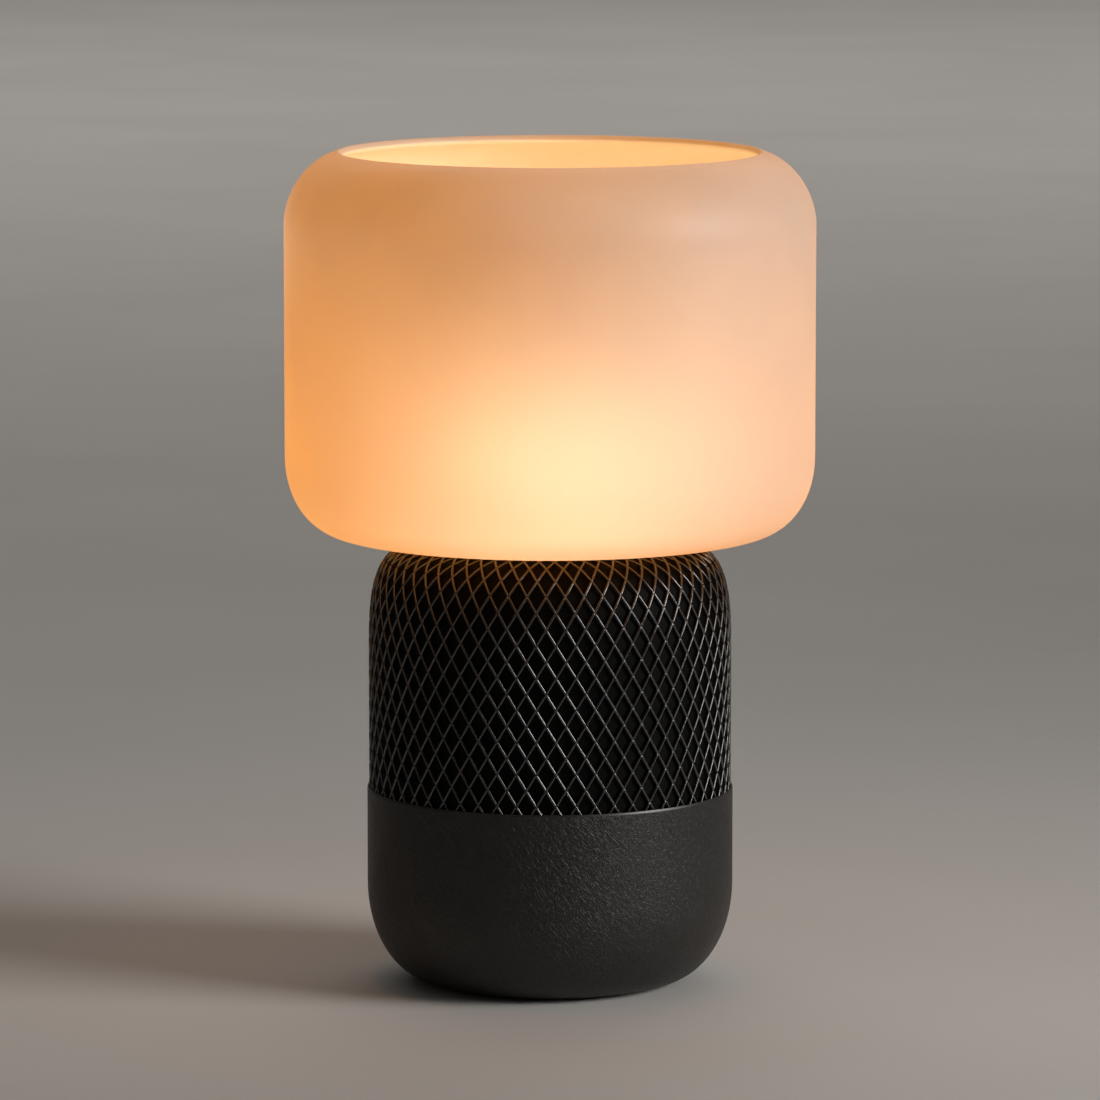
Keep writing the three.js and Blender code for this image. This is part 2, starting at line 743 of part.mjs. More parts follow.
const powerTopZ = POWER_BOARD.z + POWER_BOARD.thickness + GAP;
piece(speaker, 'transformer', block([-12, -10, 0], [12, 10, 18]), 'transformerTape', [-14, 0, powerTopZ]);
piece(speaker, 'capacitor', cylinder(6, 0, 20), 'capacitorSleeve', [20, 8, powerTopZ]);

const leadBaseZ = MAIN_BOARD.z + MAIN_BOARD.thickness + GAP;
piece(speaker, 'lamp_lead', cylinder(2.5, leadBaseZ, SOCKET.baseZ - GAP), 'cable');

// Antennas stand against the housing's wall, to the left and right of the front.
['antenna_left', 'antenna_right'].forEach((name, i) => {
  const side = i === 0 ? 1 : -1;
  const spot = group(speaker, [0, 0, 0], [0, 0, side * THREE.MathUtils.degToRad(130)]);
  piece(spot, name, block([-14, 72, 60], [14, 72.8, 69]), 'circuitGreen');
});

// ---------------------------------------------------------------- rear panel

function rearPanel() {
  const { halfWidth, lowZ, highZ, wall, backY, faceY, outerRadius } = REAR;
  const tray = common(
    block([-halfWidth, backY, lowZ], [halfWidth, 90, highZ]),
    cylinder(outerRadius, lowZ - 5, highZ + 5, 2 * ROUND_STEPS),
  );
  const recess = block([-halfWidth + wall, faceY, lowZ + wall], [halfWidth - wall, 100, highZ - wall]);
  const through = (radius, { x, z }) =>
    cylinder(radius, 60, 75).rotateX(-Math.PI / 2).translate(x, 0, z);
  const jackHole = block(
    [JACK.x - JACK.width / 2 - GAP, 60, JACK.z - JACK.height / 2 - GAP],
    [JACK.x + JACK.width / 2 + GAP, 75, JACK.z + JACK.height / 2 + GAP],
  );
  return cut(
    tray,
    recess,
    ovalPrism(INLET.width + 2 * GAP, INLET.height + 2 * GAP, 60, 75, INLET.x, INLET.z),
    jackHole,
    through(PAIR_BUTTON.radius + 0.4, PAIR_BUTTON),
    through(STATUS_LIGHT.radius + GAP, STATUS_LIGHT),
  );
}

function powerInlet() {
  const body = ovalPrism(INLET.width, INLET.height, INLET.backY, INLET.frontY);
  const cavity = ovalPrism(INLET.width - 4.4, INLET.height - 4.4, INLET.floorY, INLET.frontY + 5);
  return cut(body, cavity);
}

function ethernetJack() {
  const { width, height, backY, frontY, floorY } = JACK;
  const body = block([-width / 2, backY, -height / 2], [width / 2, frontY, height / 2]);
  const cavity = block([-5.9, floorY, -3.6], [5.9, frontY + 5, 4.6]);
  const latchSlot = block([-3.2, floorY, -5.4], [3.2, frontY + 5, -3]);
  return cut(body, cavity, latchSlot);
}

piece(speaker, 'rear_panel', rearPanel(), 'satinBlack');
piece(speaker, 'power_inlet', powerInlet(), 'innerBlack', [INLET.x, 0, INLET.z]);
piece(speaker, 'ethernet_jack', ethernetJack(), 'innerBlack', [JACK.x, 0, JACK.z]);

const inletPin = cylinder(1.2, INLET.floorY + GAP, INLET.floorY + 10);
['inlet_pin_left', 'inlet_pin_right'].forEach((name, i) => {
  const x = INLET.x + (i === 0 ? -4.3 : 4.3);
  piece(speaker, name, inletPin, 'nickel', [x, 0, INLET.z], FACING_REAR);
});

const pairButton = group(speaker, [PAIR_BUTTON.x, 0, PAIR_BUTTON.z], FACING_REAR);
piece(pairButton, 'pair_button', revolve([
  [0, 60.8],
  [4.4, 60.8],
  [4.4, 62.6],
  [PAIR_BUTTON.radius, 62.6],
  [PAIR_BUTTON.radius, 68.2],
  [0, 68.2],
], FINE_STEPS), 'innerBlack');

const lightPipe = cylinder(STATUS_LIGHT.radius, 62, 67.4);
piece(speaker, 'status_light', lightPipe, 'clearLens', [STATUS_LIGHT.x, 0, STATUS_LIGHT.z], FACING_REAR);

// ---------------------------------------------------------------- buttons

const pushButton = revolve([
  [0, BUTTON.back],
  [BUTTON.flange, BUTTON.back],
  [BUTTON.flange, BUTTON.back + 2],
  [BUTTON.radius, BUTTON.back + 2],
  [BUTTON.radius, BUTTON.face - 0.4],
  [BUTTON.radius - 0.5, BUTTON.face],
  [0, BUTTON.face - 0.3],
], SMALL_STEPS);

Object.entries(buttonHeights).forEach(([name, z]) => {
  const slider = group(buttonSide, [0, 0, z], FACING_REAR);
  piece(slider, name, pushButton, 'satinBlack');
});

function buttonBoard() {
  const board = block([-8, 67, 46], [8, 68.6, 84]);
  const switches = Object.values(buttonHeights).map((z) => block([-3, 68, z - 3], [3, 71.3, z + 3]));
  return join(board, ...switches);
}

piece(buttonSide, 'button_board', buttonBoard(), 'circuitGreen');

// ---------------------------------------------------------------- lamp switch

function switchHousing() {
  const { width, height, pocketWidth, pocketHeight, back, face } = SWITCH;
  const body = block([-width / 2, back, -height / 2], [width / 2, face, height / 2]);
  const pocket = block([-pocketWidth / 2, 70, -pocketHeight / 2], [pocketWidth / 2, 90, pocketHeight / 2]);
  const pinHole = cylinder(ROCKER.pinRadius + GAP, -10, 10).translate(0, ROCKER.pivot, 0);
  return cut(body, pocket, pinHole);
}

// The rocker's section about its pivot, as [across, outwards]; its face is a shallow V.
function rockerPaddle() {
  const { halfWidth, height, pinRadius } = ROCKER;
  const outline = new THREE.Shape([
    [-halfWidth, 0.4],
    [-3, -3],
    [3, -3],
    [halfWidth, 0.4],
    [halfWidth, 3.6],
    [0, 2.3],
    [-halfWidth, 3.6],
  ].map(([across, outwards]) => new THREE.Vector2(across, outwards)));
  const paddle = solid(new THREE.ExtrudeGeometry(outline, { depth: height, bevelEnabled: false }));
  return cut(paddle.translate(0, 0, -height / 2), cylinder(pinRadius + GAP, -10, 10));
}

const lampSwitch = group(rockerSide, [0, 0, ROCKER.z]);
piece(lampSwitch, 'switch_housing', switchHousing(), 'innerBlack');
piece(lampSwitch, 'rocker_pin', cylinder(ROCKER.pinRadius, -6.4, 6.4), 'zinc', [0, ROCKER.pivot, 0]);
piece(
  lampSwitch, 'light_rocker', rockerPaddle(), 'satinBlack',
  [0, ROCKER.pivot, 0], [0, 0, ROCKER.restTilt],
);

export default speaker;
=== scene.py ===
"""Looks of the table-lamp smart speaker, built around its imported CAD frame."""
import math

import bmesh
import bpy
from mathutils import Matrix, Vector


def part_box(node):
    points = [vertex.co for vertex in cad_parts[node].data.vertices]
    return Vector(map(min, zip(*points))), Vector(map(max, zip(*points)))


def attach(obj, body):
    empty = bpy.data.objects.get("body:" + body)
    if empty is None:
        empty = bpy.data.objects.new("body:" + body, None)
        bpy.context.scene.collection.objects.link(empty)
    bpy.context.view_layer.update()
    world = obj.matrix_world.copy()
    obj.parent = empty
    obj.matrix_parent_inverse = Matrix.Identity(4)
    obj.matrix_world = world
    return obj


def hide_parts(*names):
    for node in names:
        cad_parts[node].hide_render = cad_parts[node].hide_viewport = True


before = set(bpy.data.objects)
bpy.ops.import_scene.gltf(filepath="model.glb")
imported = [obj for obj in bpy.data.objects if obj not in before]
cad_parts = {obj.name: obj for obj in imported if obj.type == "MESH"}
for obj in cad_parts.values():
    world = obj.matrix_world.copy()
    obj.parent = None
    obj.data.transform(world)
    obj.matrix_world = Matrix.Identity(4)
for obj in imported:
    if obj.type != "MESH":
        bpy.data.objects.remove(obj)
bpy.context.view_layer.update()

# ------------------------------------------------------------------ sizes
# Profiles are in millimetres, as [radius, height] about the body's axis, and become metres in mesh().

MM = 0.001
LARGE, MEDIUM, SMALL, TINY = 192, 96, 48, 24        # facets around a turned piece
SHADE_STEPS, GRIP_STEPS, BORE_STEPS = 224, 288, 32  # around the glass, the grip ring and the paddle's bore


def span(node):
    """Lowest and highest corner of a CAD node, in millimetres."""
    low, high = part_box(node)
    return low / MM, high / MM


shade_low, shade_high = span("glass_shade")
grille_low, grille_high = span("grille_mesh")
housing_low, housing_high = span("lower_housing")
_, sleeve_high = span("acoustic_sleeve")
dome_low, dome_high = span("bulb_dome")
panel_low, panel_high = span("rear_panel")

SHADE_R = shade_high.x
SHADE_WALL = 3.8
SHADE_FLAT_R = 88.6                     # where the flat base turns up into the lower shoulder
SHADE_LOW_Z = shade_low.z + 34.75       # the side is upright between these two heights
SHADE_HIGH_Z = shade_high.z - 30.9
SHADE_LIP_R = 90.2
SHADE_HOLE_R = 40
LIP_STEPS, HOLE_STEPS = 10, 8           # facets across the rounded lip, and across the hole's rounded edge
LOW_POWER, HIGH_POWER = 2.1, 1.82       # superellipse exponents of the two shoulders

GRILLE_R = grille_high.x
GRILLE_EDGE_R = 50
GRILLE_SHOULDER_Z = 143.8
GRILLE_POWER = 3.34
DIAMONDS = 58                           # around the body
ROW_PITCH = 6.94                        # along the outline, between rows of crossings
CROSSING = (-1.25, 80.45)               # one crossing: degrees from the front, distance up the outline
BAR_RADIUS, BAR_SIDES, BAR_INSET = 0.62, 7, 0.5
NOTCH_DEPTH = 0.35                      # how far the bars dip where they cross
NOTCH = [(0, 1), (0.075, 0), (0.11, 0), (0.5, 0), (0.89, 0), (0.925, 0)]    # part of a row, share of the dip
LATTICE_FOOT_Z = 85.1                   # of the lowest rim, which stands inside the housing's lip
LIP_WIDTH, LIP_DEPTH = 0.55, 1.6         # of the housing's lip, round the lattice
EDGE_HEIGHT = 1.1                       # of the smooth band at the housing's top edge

BODY_R = housing_high.x
BODY_WALL = 3
BOWL_TOP_Z = 43.3
BOWL_FLAT_R = 52.4
SEAM_Z = housing_high.z

DOME_R = 30
# Middle of the painted glow, the bulb's light painted on the glass: the bulb's centre moved 7 mm to the left,
# so that the left side is painted brighter
GLOW_CENTRE = Vector((-7, 0, dome_high.z - DOME_R)) * MM
GLOW_REACH, GLOW_FALL = 60, 1.2         # the painted glow is 1 at this distance, and falls off to this power
FOOT_SHADE = 11                         # below this height over its foot the painted glow is dimmer, and the glass lets less light through

CONTROL_ANGLE = math.radians(52)        # of the buttons and of the lamp switch, from the rear
WRINKLE_LIE = math.radians(57)          # how steeply the housing's wrinkles run down to the right
SWITCH_Z, SWITCH_HALF_W, SWITCH_HALF_H = 65, 10.7, 6.7
SWITCH_WALL = 1.4
PIVOT_R = 76.6                          # of the lamp switch's pivot pin, from the body's axis
PIN_BORE = 1.3                          # radius, through the lamp switch's paddle for its pivot pin
REST_TILT = math.radians(-10)           # of the lamp switch's paddle
BUTTON_HEIGHTS = {"button_volume_up": 77.5, "button_play": 65, "button_volume_down": 52.5}


# ------------------------------------------------------------------ outlines

def superellipse(r0, z0, r1, z1, power, steps):
    """A quarter curve from (r0, z0), where it is upright, to (r1, z1), where it is level."""
    points = []
    for i in range(steps + 1):
        angle = i / steps * math.pi / 2
        across = math.cos(angle) ** (2 / power) if i < steps else 0
        along = math.sin(angle) ** (2 / power)
        points.append((r1 + (r0 - r1) * across, z0 + (z1 - z0) * along))
    return points


def arc(r, z, radius, start, end, steps):
    """Points on a circle in the profile's plane, from one angle to another, in degrees."""
    angles = [math.radians(start + (end - start) * i / steps) for i in range(steps + 1)]
    return [(r + radius * math.cos(a), z + radius * math.sin(a)) for a in angles]


def rounded(corners, closed=True, steps=4):
    """An outline whose corners (r, z, fillet) are rounded off. A fillet of 0 stays sharp."""
    out = []
    count = len(corners)
    for i, (r, z, fillet) in enumerate(corners):
        corner = Vector((r, z))
        if not fillet or (not closed and i in (0, count - 1)):
            out.append((r, z))
            continue
        back = Vector(corners[i - 1][:2]) - corner
        ahead = Vector(corners[(i + 1) % count][:2]) - corner
        half = back.angle(ahead) / 2
        reach = min(fillet / math.tan(half), 0.48 * back.length, 0.48 * ahead.length)
        back.normalize()
        ahead.normalize()
        centre = corner + (back + ahead).normalized() * reach / math.cos(half)
        first, last = corner + back * reach - centre, corner + ahead * reach - centre
        turn = first.angle(last)
        for k in range(steps + 1):
            t = k / steps
            spoke = (first * math.sin((1 - t) * turn) + last * math.sin(t * turn)) / math.sin(turn)
            out.append(tuple(centre + spoke))
    return out


# ------------------------------------------------------------------ mesh making

def mesh(name, verts, faces, material, sharp=35):
    """An object from points in millimetres, shaded smooth except where it turns by more than sharp."""
    data = bpy.data.meshes.new(name)
    data.from_pydata([Vector(v) * MM for v in verts], [], faces)
    obj = bpy.data.objects.new(name, data)
    bpy.context.scene.collection.objects.link(obj)
    tidy(obj, sharp)
    for one in material if isinstance(material, (list, tuple)) else [material]:
        data.materials.append(one)
    return obj


def tidy(obj, sharp=35):
    """Turns every face out, and shades the mesh smooth."""
    shape = bmesh.new()
    shape.from_mesh(obj.data)
    bmesh.ops.recalc_face_normals(shape, faces=shape.faces)
    shape.to_mesh(obj.data)
    shape.free()
    obj.data.shade_smooth()
    obj.data.set_sharp_from_angle(angle=math.radians(sharp))


def settle(obj, sharp=35):
    """Applies the object's modifiers to its mesh."""
    graph = bpy.context.evaluated_depsgraph_get()
    data = bpy.data.meshes.new_from_object(obj.evaluated_get(graph))
    obj.modifiers.clear()
    obj.data = data
    tidy(obj, sharp)
    return obj


def turned(name, profile, material, steps=MEDIUM, shape=None, sharp=35):
    """Revolves a profile about Z. It is closed on itself, or starts and ends on the axis.
    shape(radius, height, angle) may move a point: it gives a new radius and height."""
    on_axis = profile[0][0] < 1e-6 and profile[-1][0] < 1e-6
    verts, rings = [], []
    for r, z in profile:
        if r < 1e-6:
            rings.append([len(verts)] * steps)
            verts.append((0, 0, z))
            continue
        rings.append(list(range(len(verts), len(verts) + steps)))
        for i in range(steps):
            angle = 2 * math.pi * i / steps
            radius, height = shape(r, z, angle) if shape else (r, z)
            verts.append((radius * math.cos(angle), radius * math.sin(angle), height))
    pairs = list(zip(rings, rings[1:])) + ([] if on_axis else [(rings[-1], rings[0])])
    faces = []
    for low, high in pairs:
        for i in range(steps):
            j = (i + 1) % steps
            corners = [low[i], low[j], high[j], high[i]]
            faces.append(list(dict.fromkeys(corners)))
    return mesh(name, verts, faces, material, sharp)


def box(name, low, high, material, bevel=0.0, edges="all", segments=3):
    """A block between two corners in millimetres, with its edges rounded: all of them, or those along y."""
    x, y, z = zip(low, high)
    verts = [(x[i], y[j], z[k]) for i in (0, 1) for j in (0, 1) for k in (0, 1)]
    faces = [(0, 1, 3, 2), (4, 6, 7, 5), (0, 4, 5, 1), (2, 3, 7, 6), (0, 2, 6, 4), (1, 5, 7, 3)]
    obj = mesh(name, verts, faces, material)
    if bevel:
        shape = bmesh.new()
        shape.from_mesh(obj.data)
        chosen = [
            e for e in shape.edges
            if edges == "all" or abs((e.verts[0].co - e.verts[1].co).normalized().y) > 0.9
        ]
        bmesh.ops.bevel(
            shape, geom=chosen, offset=bevel * MM, offset_type="OFFSET",
            segments=segments, profile=0.5, affect="EDGES", clamp_overlap=True,
        )
        shape.to_mesh(obj.data)
        shape.free()
        tidy(obj)
    return obj


def prism(name, outline, low, high, material, bevel=0.0):
    """An outline in the XZ plane, pushed along Y from low to high, in millimetres."""
    count = len(outline)
    verts = [(x, y, z) for y in (low, high) for x, z in outline]
    faces = [list(range(count)), list(range(2 * count - 1, count - 1, -1))]
    faces += [[i, (i + 1) % count, count + (i + 1) % count, count + i] for i in range(count)]
    obj = mesh(name, verts, faces, material)
    if bevel:
        soften(obj, bevel)
    return obj


def soften(obj, width, angle=40, segments=2):
    """Rounds every edge sharper than the angle."""
    bevel = obj.modifiers.new("edges", "BEVEL")
    bevel.width = width * MM
    bevel.segments = segments
    bevel.limit_method = "ANGLE"
    bevel.angle_limit = math.radians(angle)
    return settle(obj)


def carve(obj, cutters, operation="DIFFERENCE"):
    """Cuts the cutters out of obj, or keeps what they share with it, and deletes them."""
    for cutter in cutters:
        change = obj.modifiers.new("cut", "BOOLEAN")
        change.object = cutter
        change.operation = operation
        change.solver = "EXACT"
    settle(obj)
    for cutter in cutters:
        bpy.data.objects.remove(cutter)
    return obj


def place(obj, matrix):
    """Moves the mesh itself, so that the object stays at the origin and its patterns keep their scale."""
    obj.data.transform(matrix)
    obj.data.update()
    return obj


def show(obj, body, slot, *nodes):
    """Rides a finished piece on its body, and hides the CAD nodes that it stands for. The slot argument is
    not used.
    """
    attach(obj, body)
    if nodes:
        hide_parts(*nodes)
    return obj


def joined(obj, *others):
    """Puts the other objects' meshes into obj's."""
    shape = bmesh.new()
    shape.from_mesh(obj.data)
    for other in others:
        shape.from_mesh(other.data)
        bpy.data.objects.remove(other)
    shape.to_mesh(obj.data)
    shape.free()
    return obj


UPRIGHT = Matrix.Rotation(math.pi / 2, 4, "X")            # a prism's +Y to +Z
FACING_REAR = Matrix.Rotation(-math.pi / 2, 4, "X")       # a turned piece's +Z to +Y
TO_BUTTONS = Matrix.Rotation(-CONTROL_ANGLE, 4, "Z")      # +Y to the buttons' direction
TO_SWITCH = Matrix.Rotation(CONTROL_ANGLE, 4, "Z")        # +Y to the lamp switch's direction


def shift(x=0.0, y=0.0, z=0.0):
    """A move in millimetres."""
    return Matrix.Translation(Vector((x, y, z)) * MM)


# ------------------------------------------------------------------ camera, floor and light

CAMERA_AIM = Vector((0, 0, 0.1893))
CAMERA_PLACE = Vector((0, -2.9512, 0.5932))
LENS = 223.5                            # focal length in millimetres, on a 36 mm sensor

eye = bpy.data.cameras.new("camera")
eye.lens = LENS
camera = bpy.data.objects.new("camera", eye)
camera.location = CAMERA_PLACE
camera.rotation_euler = (CAMERA_AIM - CAMERA_PLACE).to_track_quat("-Z", "Y").to_euler()
bpy.context.scene.collection.objects.link(camera)
bpy.context.scene.camera = camera
bpy.context.scene.view_settings.view_transform = "Standard"


def soft_box(name, spot, aim, size, power, colour, spread=180):
    """A rectangular studio light, whose beam may be narrowed to a spread in degrees."""
    lamp = bpy.data.lights.new(name, "AREA")
    lamp.shape = "RECTANGLE"
    lamp.size, lamp.size_y = size
    lamp.energy = power
    lamp.color = colour
    lamp.spread = math.radians(spread)
    obj = bpy.data.objects.new(name, lamp)
    obj.location = spot
    obj.rotation_euler = (Vector(aim) - Vector(spot)).to_track_quat("-Z", "Y").to_euler()
    bpy.context.scene.collection.objects.link(obj)


soft_box("key", (1.83, -0.74, 0.87), (0, 0, 0.15), (1.0, 0.8), 4.5, (1.0, 0.98, 0.96), 70)
soft_box("fill", (-2.2, -2.0, 1.5), (0, 0, 0.2), (1.8, 1.8), 0.8, (1.0, 0.93, 0.85))
soft_box("back", (0.6, 2.2, 1.9), (0, 0, 0.2), (1.6, 1.2), 2.2, (1.0, 0.93, 0.86))
FLOOR_LIGHT = (1.0, 0.96, 0.92)
soft_box("rear_floor", (0, 5.6, 3.4), (0, 5.7, 0), (8, 6), 110, FLOOR_LIGHT)
soft_box("front_floor", (0, -5.2, 3.4), (0, -5.1, 0), (9, 5.6), 58, FLOOR_LIGHT, 88)

world = bpy.data.worlds.new("studio")
world.use_nodes = True
ambient = world.node_tree.nodes["Background"]
ambient.inputs["Color"].default_value = (0.95, 0.88, 0.8, 1)
ambient.inputs["Strength"].default_value = 0.03
bpy.context.scene.world = world


# ------------------------------------------------------------------ materials

def feed(tree, node, inputs):
    """Links a node's inputs to sockets, or sets them to values."""
    for key, value in inputs.items():
        if isinstance(value, bpy.types.NodeSocket):
            tree.links.new(value, node.inputs[key])
        else:
            node.inputs[key].default_value = value


def add(tree, kind, inputs=None, **options):
    """A shader node with its options set, and its inputs set or linked."""
    node = tree.nodes.new("ShaderNode" + kind)
    for key, value in options.items():
        setattr(node, key, value)
    feed(tree, node, inputs or {})
    return node


def start(name):
    """A new material, its node tree and its Principled node."""
    material = bpy.data.materials.new(name)
    material.use_nodes = True
    return material, material.node_tree, material.node_tree.nodes["Principled BSDF"]


def position(tree):
    """The piece's own coordinates in metres, as a vector."""
    return add(tree, "TexCoord").outputs["Object"]


def position_parts(tree):
    """The piece's own x, y and z in metres."""
    return add(tree, "SeparateXYZ", {"Vector": position(tree)}).outputs


def coordinates(tree, pitch, stretch=(1, 1, 1)):
    """The piece's own coordinates, scaled so that one unit is the pitch in millimetres."""
    scale = [s / (pitch * MM) for s in stretch]
    return add(tree, "Mapping", {"Vector": position(tree), "Scale": scale}).outputs["Vector"]


def noise_at(tree, vector, detail, roughness=0.5, distortion=0.0):
    """Noise from 0 to 1 at a vector, whose unit is the size of the largest blots."""
    return add(tree, "TexNoise", {
        "Vector": vector, "Scale": 1.0, "Detail": detail, "Roughness": roughness, "Distortion": distortion,
    }).outputs["Fac"]


def noise(tree, pitch, detail=3.0, roughness=0.5, stretch=(1, 1, 1)):
    """Noise from 0 to 1 whose largest blots are about a pitch across, in millimetres."""
    return noise_at(tree, coordinates(tree, pitch, stretch), detail, roughness)


def ramp(tree, value, *stops):
    """A colour ramp through (position, colour) stops."""
    node = add(tree, "ValToRGB", {"Fac": value})
    ends = node.color_ramp.elements
    while len(ends) < len(stops):
        ends.new(0.5)
    for element, (position, colour) in zip(ends, stops):
        element.position = position
        element.color = (*colour, 1)
    return node.outputs["Color"]


def remap(tree, value, low, high, new_low, new_high):
    """Turns the range from low to high into the new one, and stops at its ends."""
    return add(tree, "MapRange", {
        "Value": value, "From Min": low, "From Max": high, "To Min": new_low, "To Max": new_high,
    }).outputs["Result"]


def maths(tree, operation, a, b=0.0):
    """One sum of two values, or of the first alone."""
    return add(tree, "Math", {0: a, 1: b}, operation=operation).outputs["Value"]


def weighted(tree, first, second, share):
    """The first value's share of 1, and the second value for the rest."""
    rest = maths(tree, "MULTIPLY", second, 1 - share)
    return maths(tree, "ADD", maths(tree, "MULTIPLY", first, share), rest)


def bump(tree, height, depth, normal=None):
    """A bump of the given depth in millimetres."""
    inputs = {"Height": height, "Strength": 1.0, "Distance": depth * MM}
    if normal:
        inputs["Normal"] = normal
    return add(tree, "Bump", inputs).outputs["Normal"]


def surface(name, dark, light, rough, pitch=1.0, depth=0.02, metal=0.0, stretch=(1, 1, 1), broad=25.0,
            coat=0.0, specular=0.5):
    """A general finish: fine grain in colour, gloss and height over a broad, faint unevenness."""
    material, tree, shader = start(name)
    fine = noise(tree, pitch, 4.0, 0.55, stretch)
    mixed = weighted(tree, fine, noise(tree, broad, 2.0), 0.55)
    feed(tree, shader, {
        "Base Color": ramp(tree, mixed, (0.32, dark), (0.68, light)),
        "Roughness": remap(tree, mixed, 0.3, 0.7, *rough),
        "Normal": bump(tree, fine, depth),
        "Metallic": metal,
        "Coat Weight": coat,
        "Specular IOR Level": specular,
    })
    return material


def glow(tree):
    """How brightly the bulb's light is painted on the glass as a glow, from the distance to the middle of the
    painted glow.
    """
    away = add(tree, "VectorMath", {0: position(tree), 1: GLOW_CENTRE}, operation="DISTANCE").outputs["Value"]
    return maths(tree, "POWER", maths(tree, "DIVIDE", GLOW_REACH * MM, away), GLOW_FALL)


def surface_mix(tree, share, first, second):
    """Makes the material show the first shader, with a share of the second."""
    mixed = add(tree, "MixShader", {"Fac": share, 1: first.outputs["BSDF"], 2: second.outputs["BSDF"]})
    tree.links.new(mixed.outputs["Shader"], tree.nodes["Material Output"].inputs["Surface"])


def opal_outside():
    """Satin-etched opal glass. The bulb's light through it is partly real, through a rough refraction, and
    partly a painted orange glow, painted dimmer at its foot.
    """
    material, tree, shader = start("opal_glass_outside")
    height = position_parts(tree)["Z"]
    foot, above_foot = shade_low.z * MM, (shade_low.z + FOOT_SHADE) * MM
    cloud = remap(tree, noise(tree, 38, 2.0), 0.25, 0.75, 0.93, 1.07)
    lit = maths(tree, "MINIMUM", maths(tree, "MULTIPLY", glow(tree), cloud), 0.64)
    # painted shade: the painted glow is made dimmer over the glass's foot
    lit = maths(tree, "MULTIPLY", lit, remap(tree, height, foot, above_foot, 0.88, 1))
    grain = noise(tree, 0.9, 4.0, 0.6)
    feed(tree, shader, {
        "Base Color": (0.34, 0.49, 0.54, 1),
        "Roughness": remap(tree, grain, 0.3, 0.7, 0.42, 0.52),
        "Normal": bump(tree, grain, 0.012),
        # The emission is painted glow: the bulb's light through the glass, painted on in orange.
        "Emission Color": ramp(
            tree, lit, (0.3, (0.97, 0.325, 0.040)), (0.5, (1.0, 0.335, 0.036)), (0.9, (1.0, 0.40, 0.07))),
        "Emission Strength": maths(tree, "MULTIPLY", lit, 1.75),
        "IOR": 1.45,
    })
    through = add(tree, "BsdfRefraction", {"Color": (0.9, 0.93, 0.92, 1), "Roughness": 0.95, "IOR": 2.0})
    surface_mix(tree, remap(tree, height, foot, above_foot, 0.07, 0.2), shader, through)
    return material


def opal_inside():
    """The inner face of the glass, with the bulb's light on it painted in as a glow. Light from the bulb goes
    on through it to the outer face.
    """
    material, tree, shader = start("opal_glass_inside")
    light = glow(tree)
    feed(tree, shader, {
        "Base Color": (0.80, 0.70, 0.56, 1),
        "Roughness": remap(tree, noise(tree, 1.1, 3.0), 0.3, 0.7, 0.35, 0.45),
        # painted glow: the bulb's light on the inner face, painted as emission
        "Emission Color": ramp(tree, light, (0.25, (0.95, 0.52, 0.20)), (0.95, (1.0, 0.66, 0.32))),
        "Emission Strength": light,
    })
    clear = add(tree, "BsdfTransparent", {"Color": (1.0, 0.93, 0.82, 1)})
    surface_mix(tree, add(tree, "LightPath").outputs["Is Camera Ray"], clear, shader)
    return material


def lamp_diffuser():
    """The bulb's milky dome, alight."""
    material, tree, shader = start("lamp_diffuser")
    height, haze = position_parts(tree)["Z"], noise(tree, 14, 2.0)
    feed(tree, shader, {
        "Base Color": (0.9, 0.85, 0.76, 1),
        "Roughness": 0.4,
        "Emission Color": ramp(tree, haze, (0.3, (1.0, 0.76, 0.56)), (0.7, (1.0, 0.81, 0.63))),
        "Emission Strength": remap(tree, height, dome_low.z * MM, dome_high.z * MM, 12.0, 5.5),
    })
    return material


def unrolled(tree, along, across):
    """Coordinates rolled out flat round the axis and turned to the wrinkles' lie.
    One unit is along or across, in millimetres."""
    x, y, z = position_parts(tree)
    angle = maths(tree, "ARCTAN2", x, maths(tree, "MULTIPLY", y, -1.0))
    squares = maths(tree, "ADD", maths(tree, "MULTIPLY", x, x), maths(tree, "MULTIPLY", y, y))
    flat = add(tree, "CombineXYZ", {
        "X": maths(tree, "MULTIPLY", angle, BODY_R * MM),
        "Y": maths(tree, "ADD", z, maths(tree, "SQRT", squares)),
    }).outputs["Vector"]
    lie = Vector((math.cos(WRINKLE_LIE), -math.sin(WRINKLE_LIE), 0))
    parts = {}
    for axis, way, unit in (("X", lie, along), ("Y", Vector((-lie.y, lie.x, 0)), across)):
        node = add(tree, "VectorMath", {0: flat, 1: way / (unit * MM)}, operation="DOT_PRODUCT")
        parts[axis] = node.outputs["Value"]
    return add(tree, "CombineXYZ", parts).outputs["Vector"]


def ridges(tree, vector, width, detail, distortion=0.0):
    """Thin winding lines, 1 along the middle of each and 0 beyond its width."""
    cells = noise_at(tree, vector, detail, distortion=distortion)
    return remap(tree, maths(tree, "ABSOLUTE", maths(tree, "SUBTRACT", cells, 0.5)), 0.0, width, 1.0, 0.0)


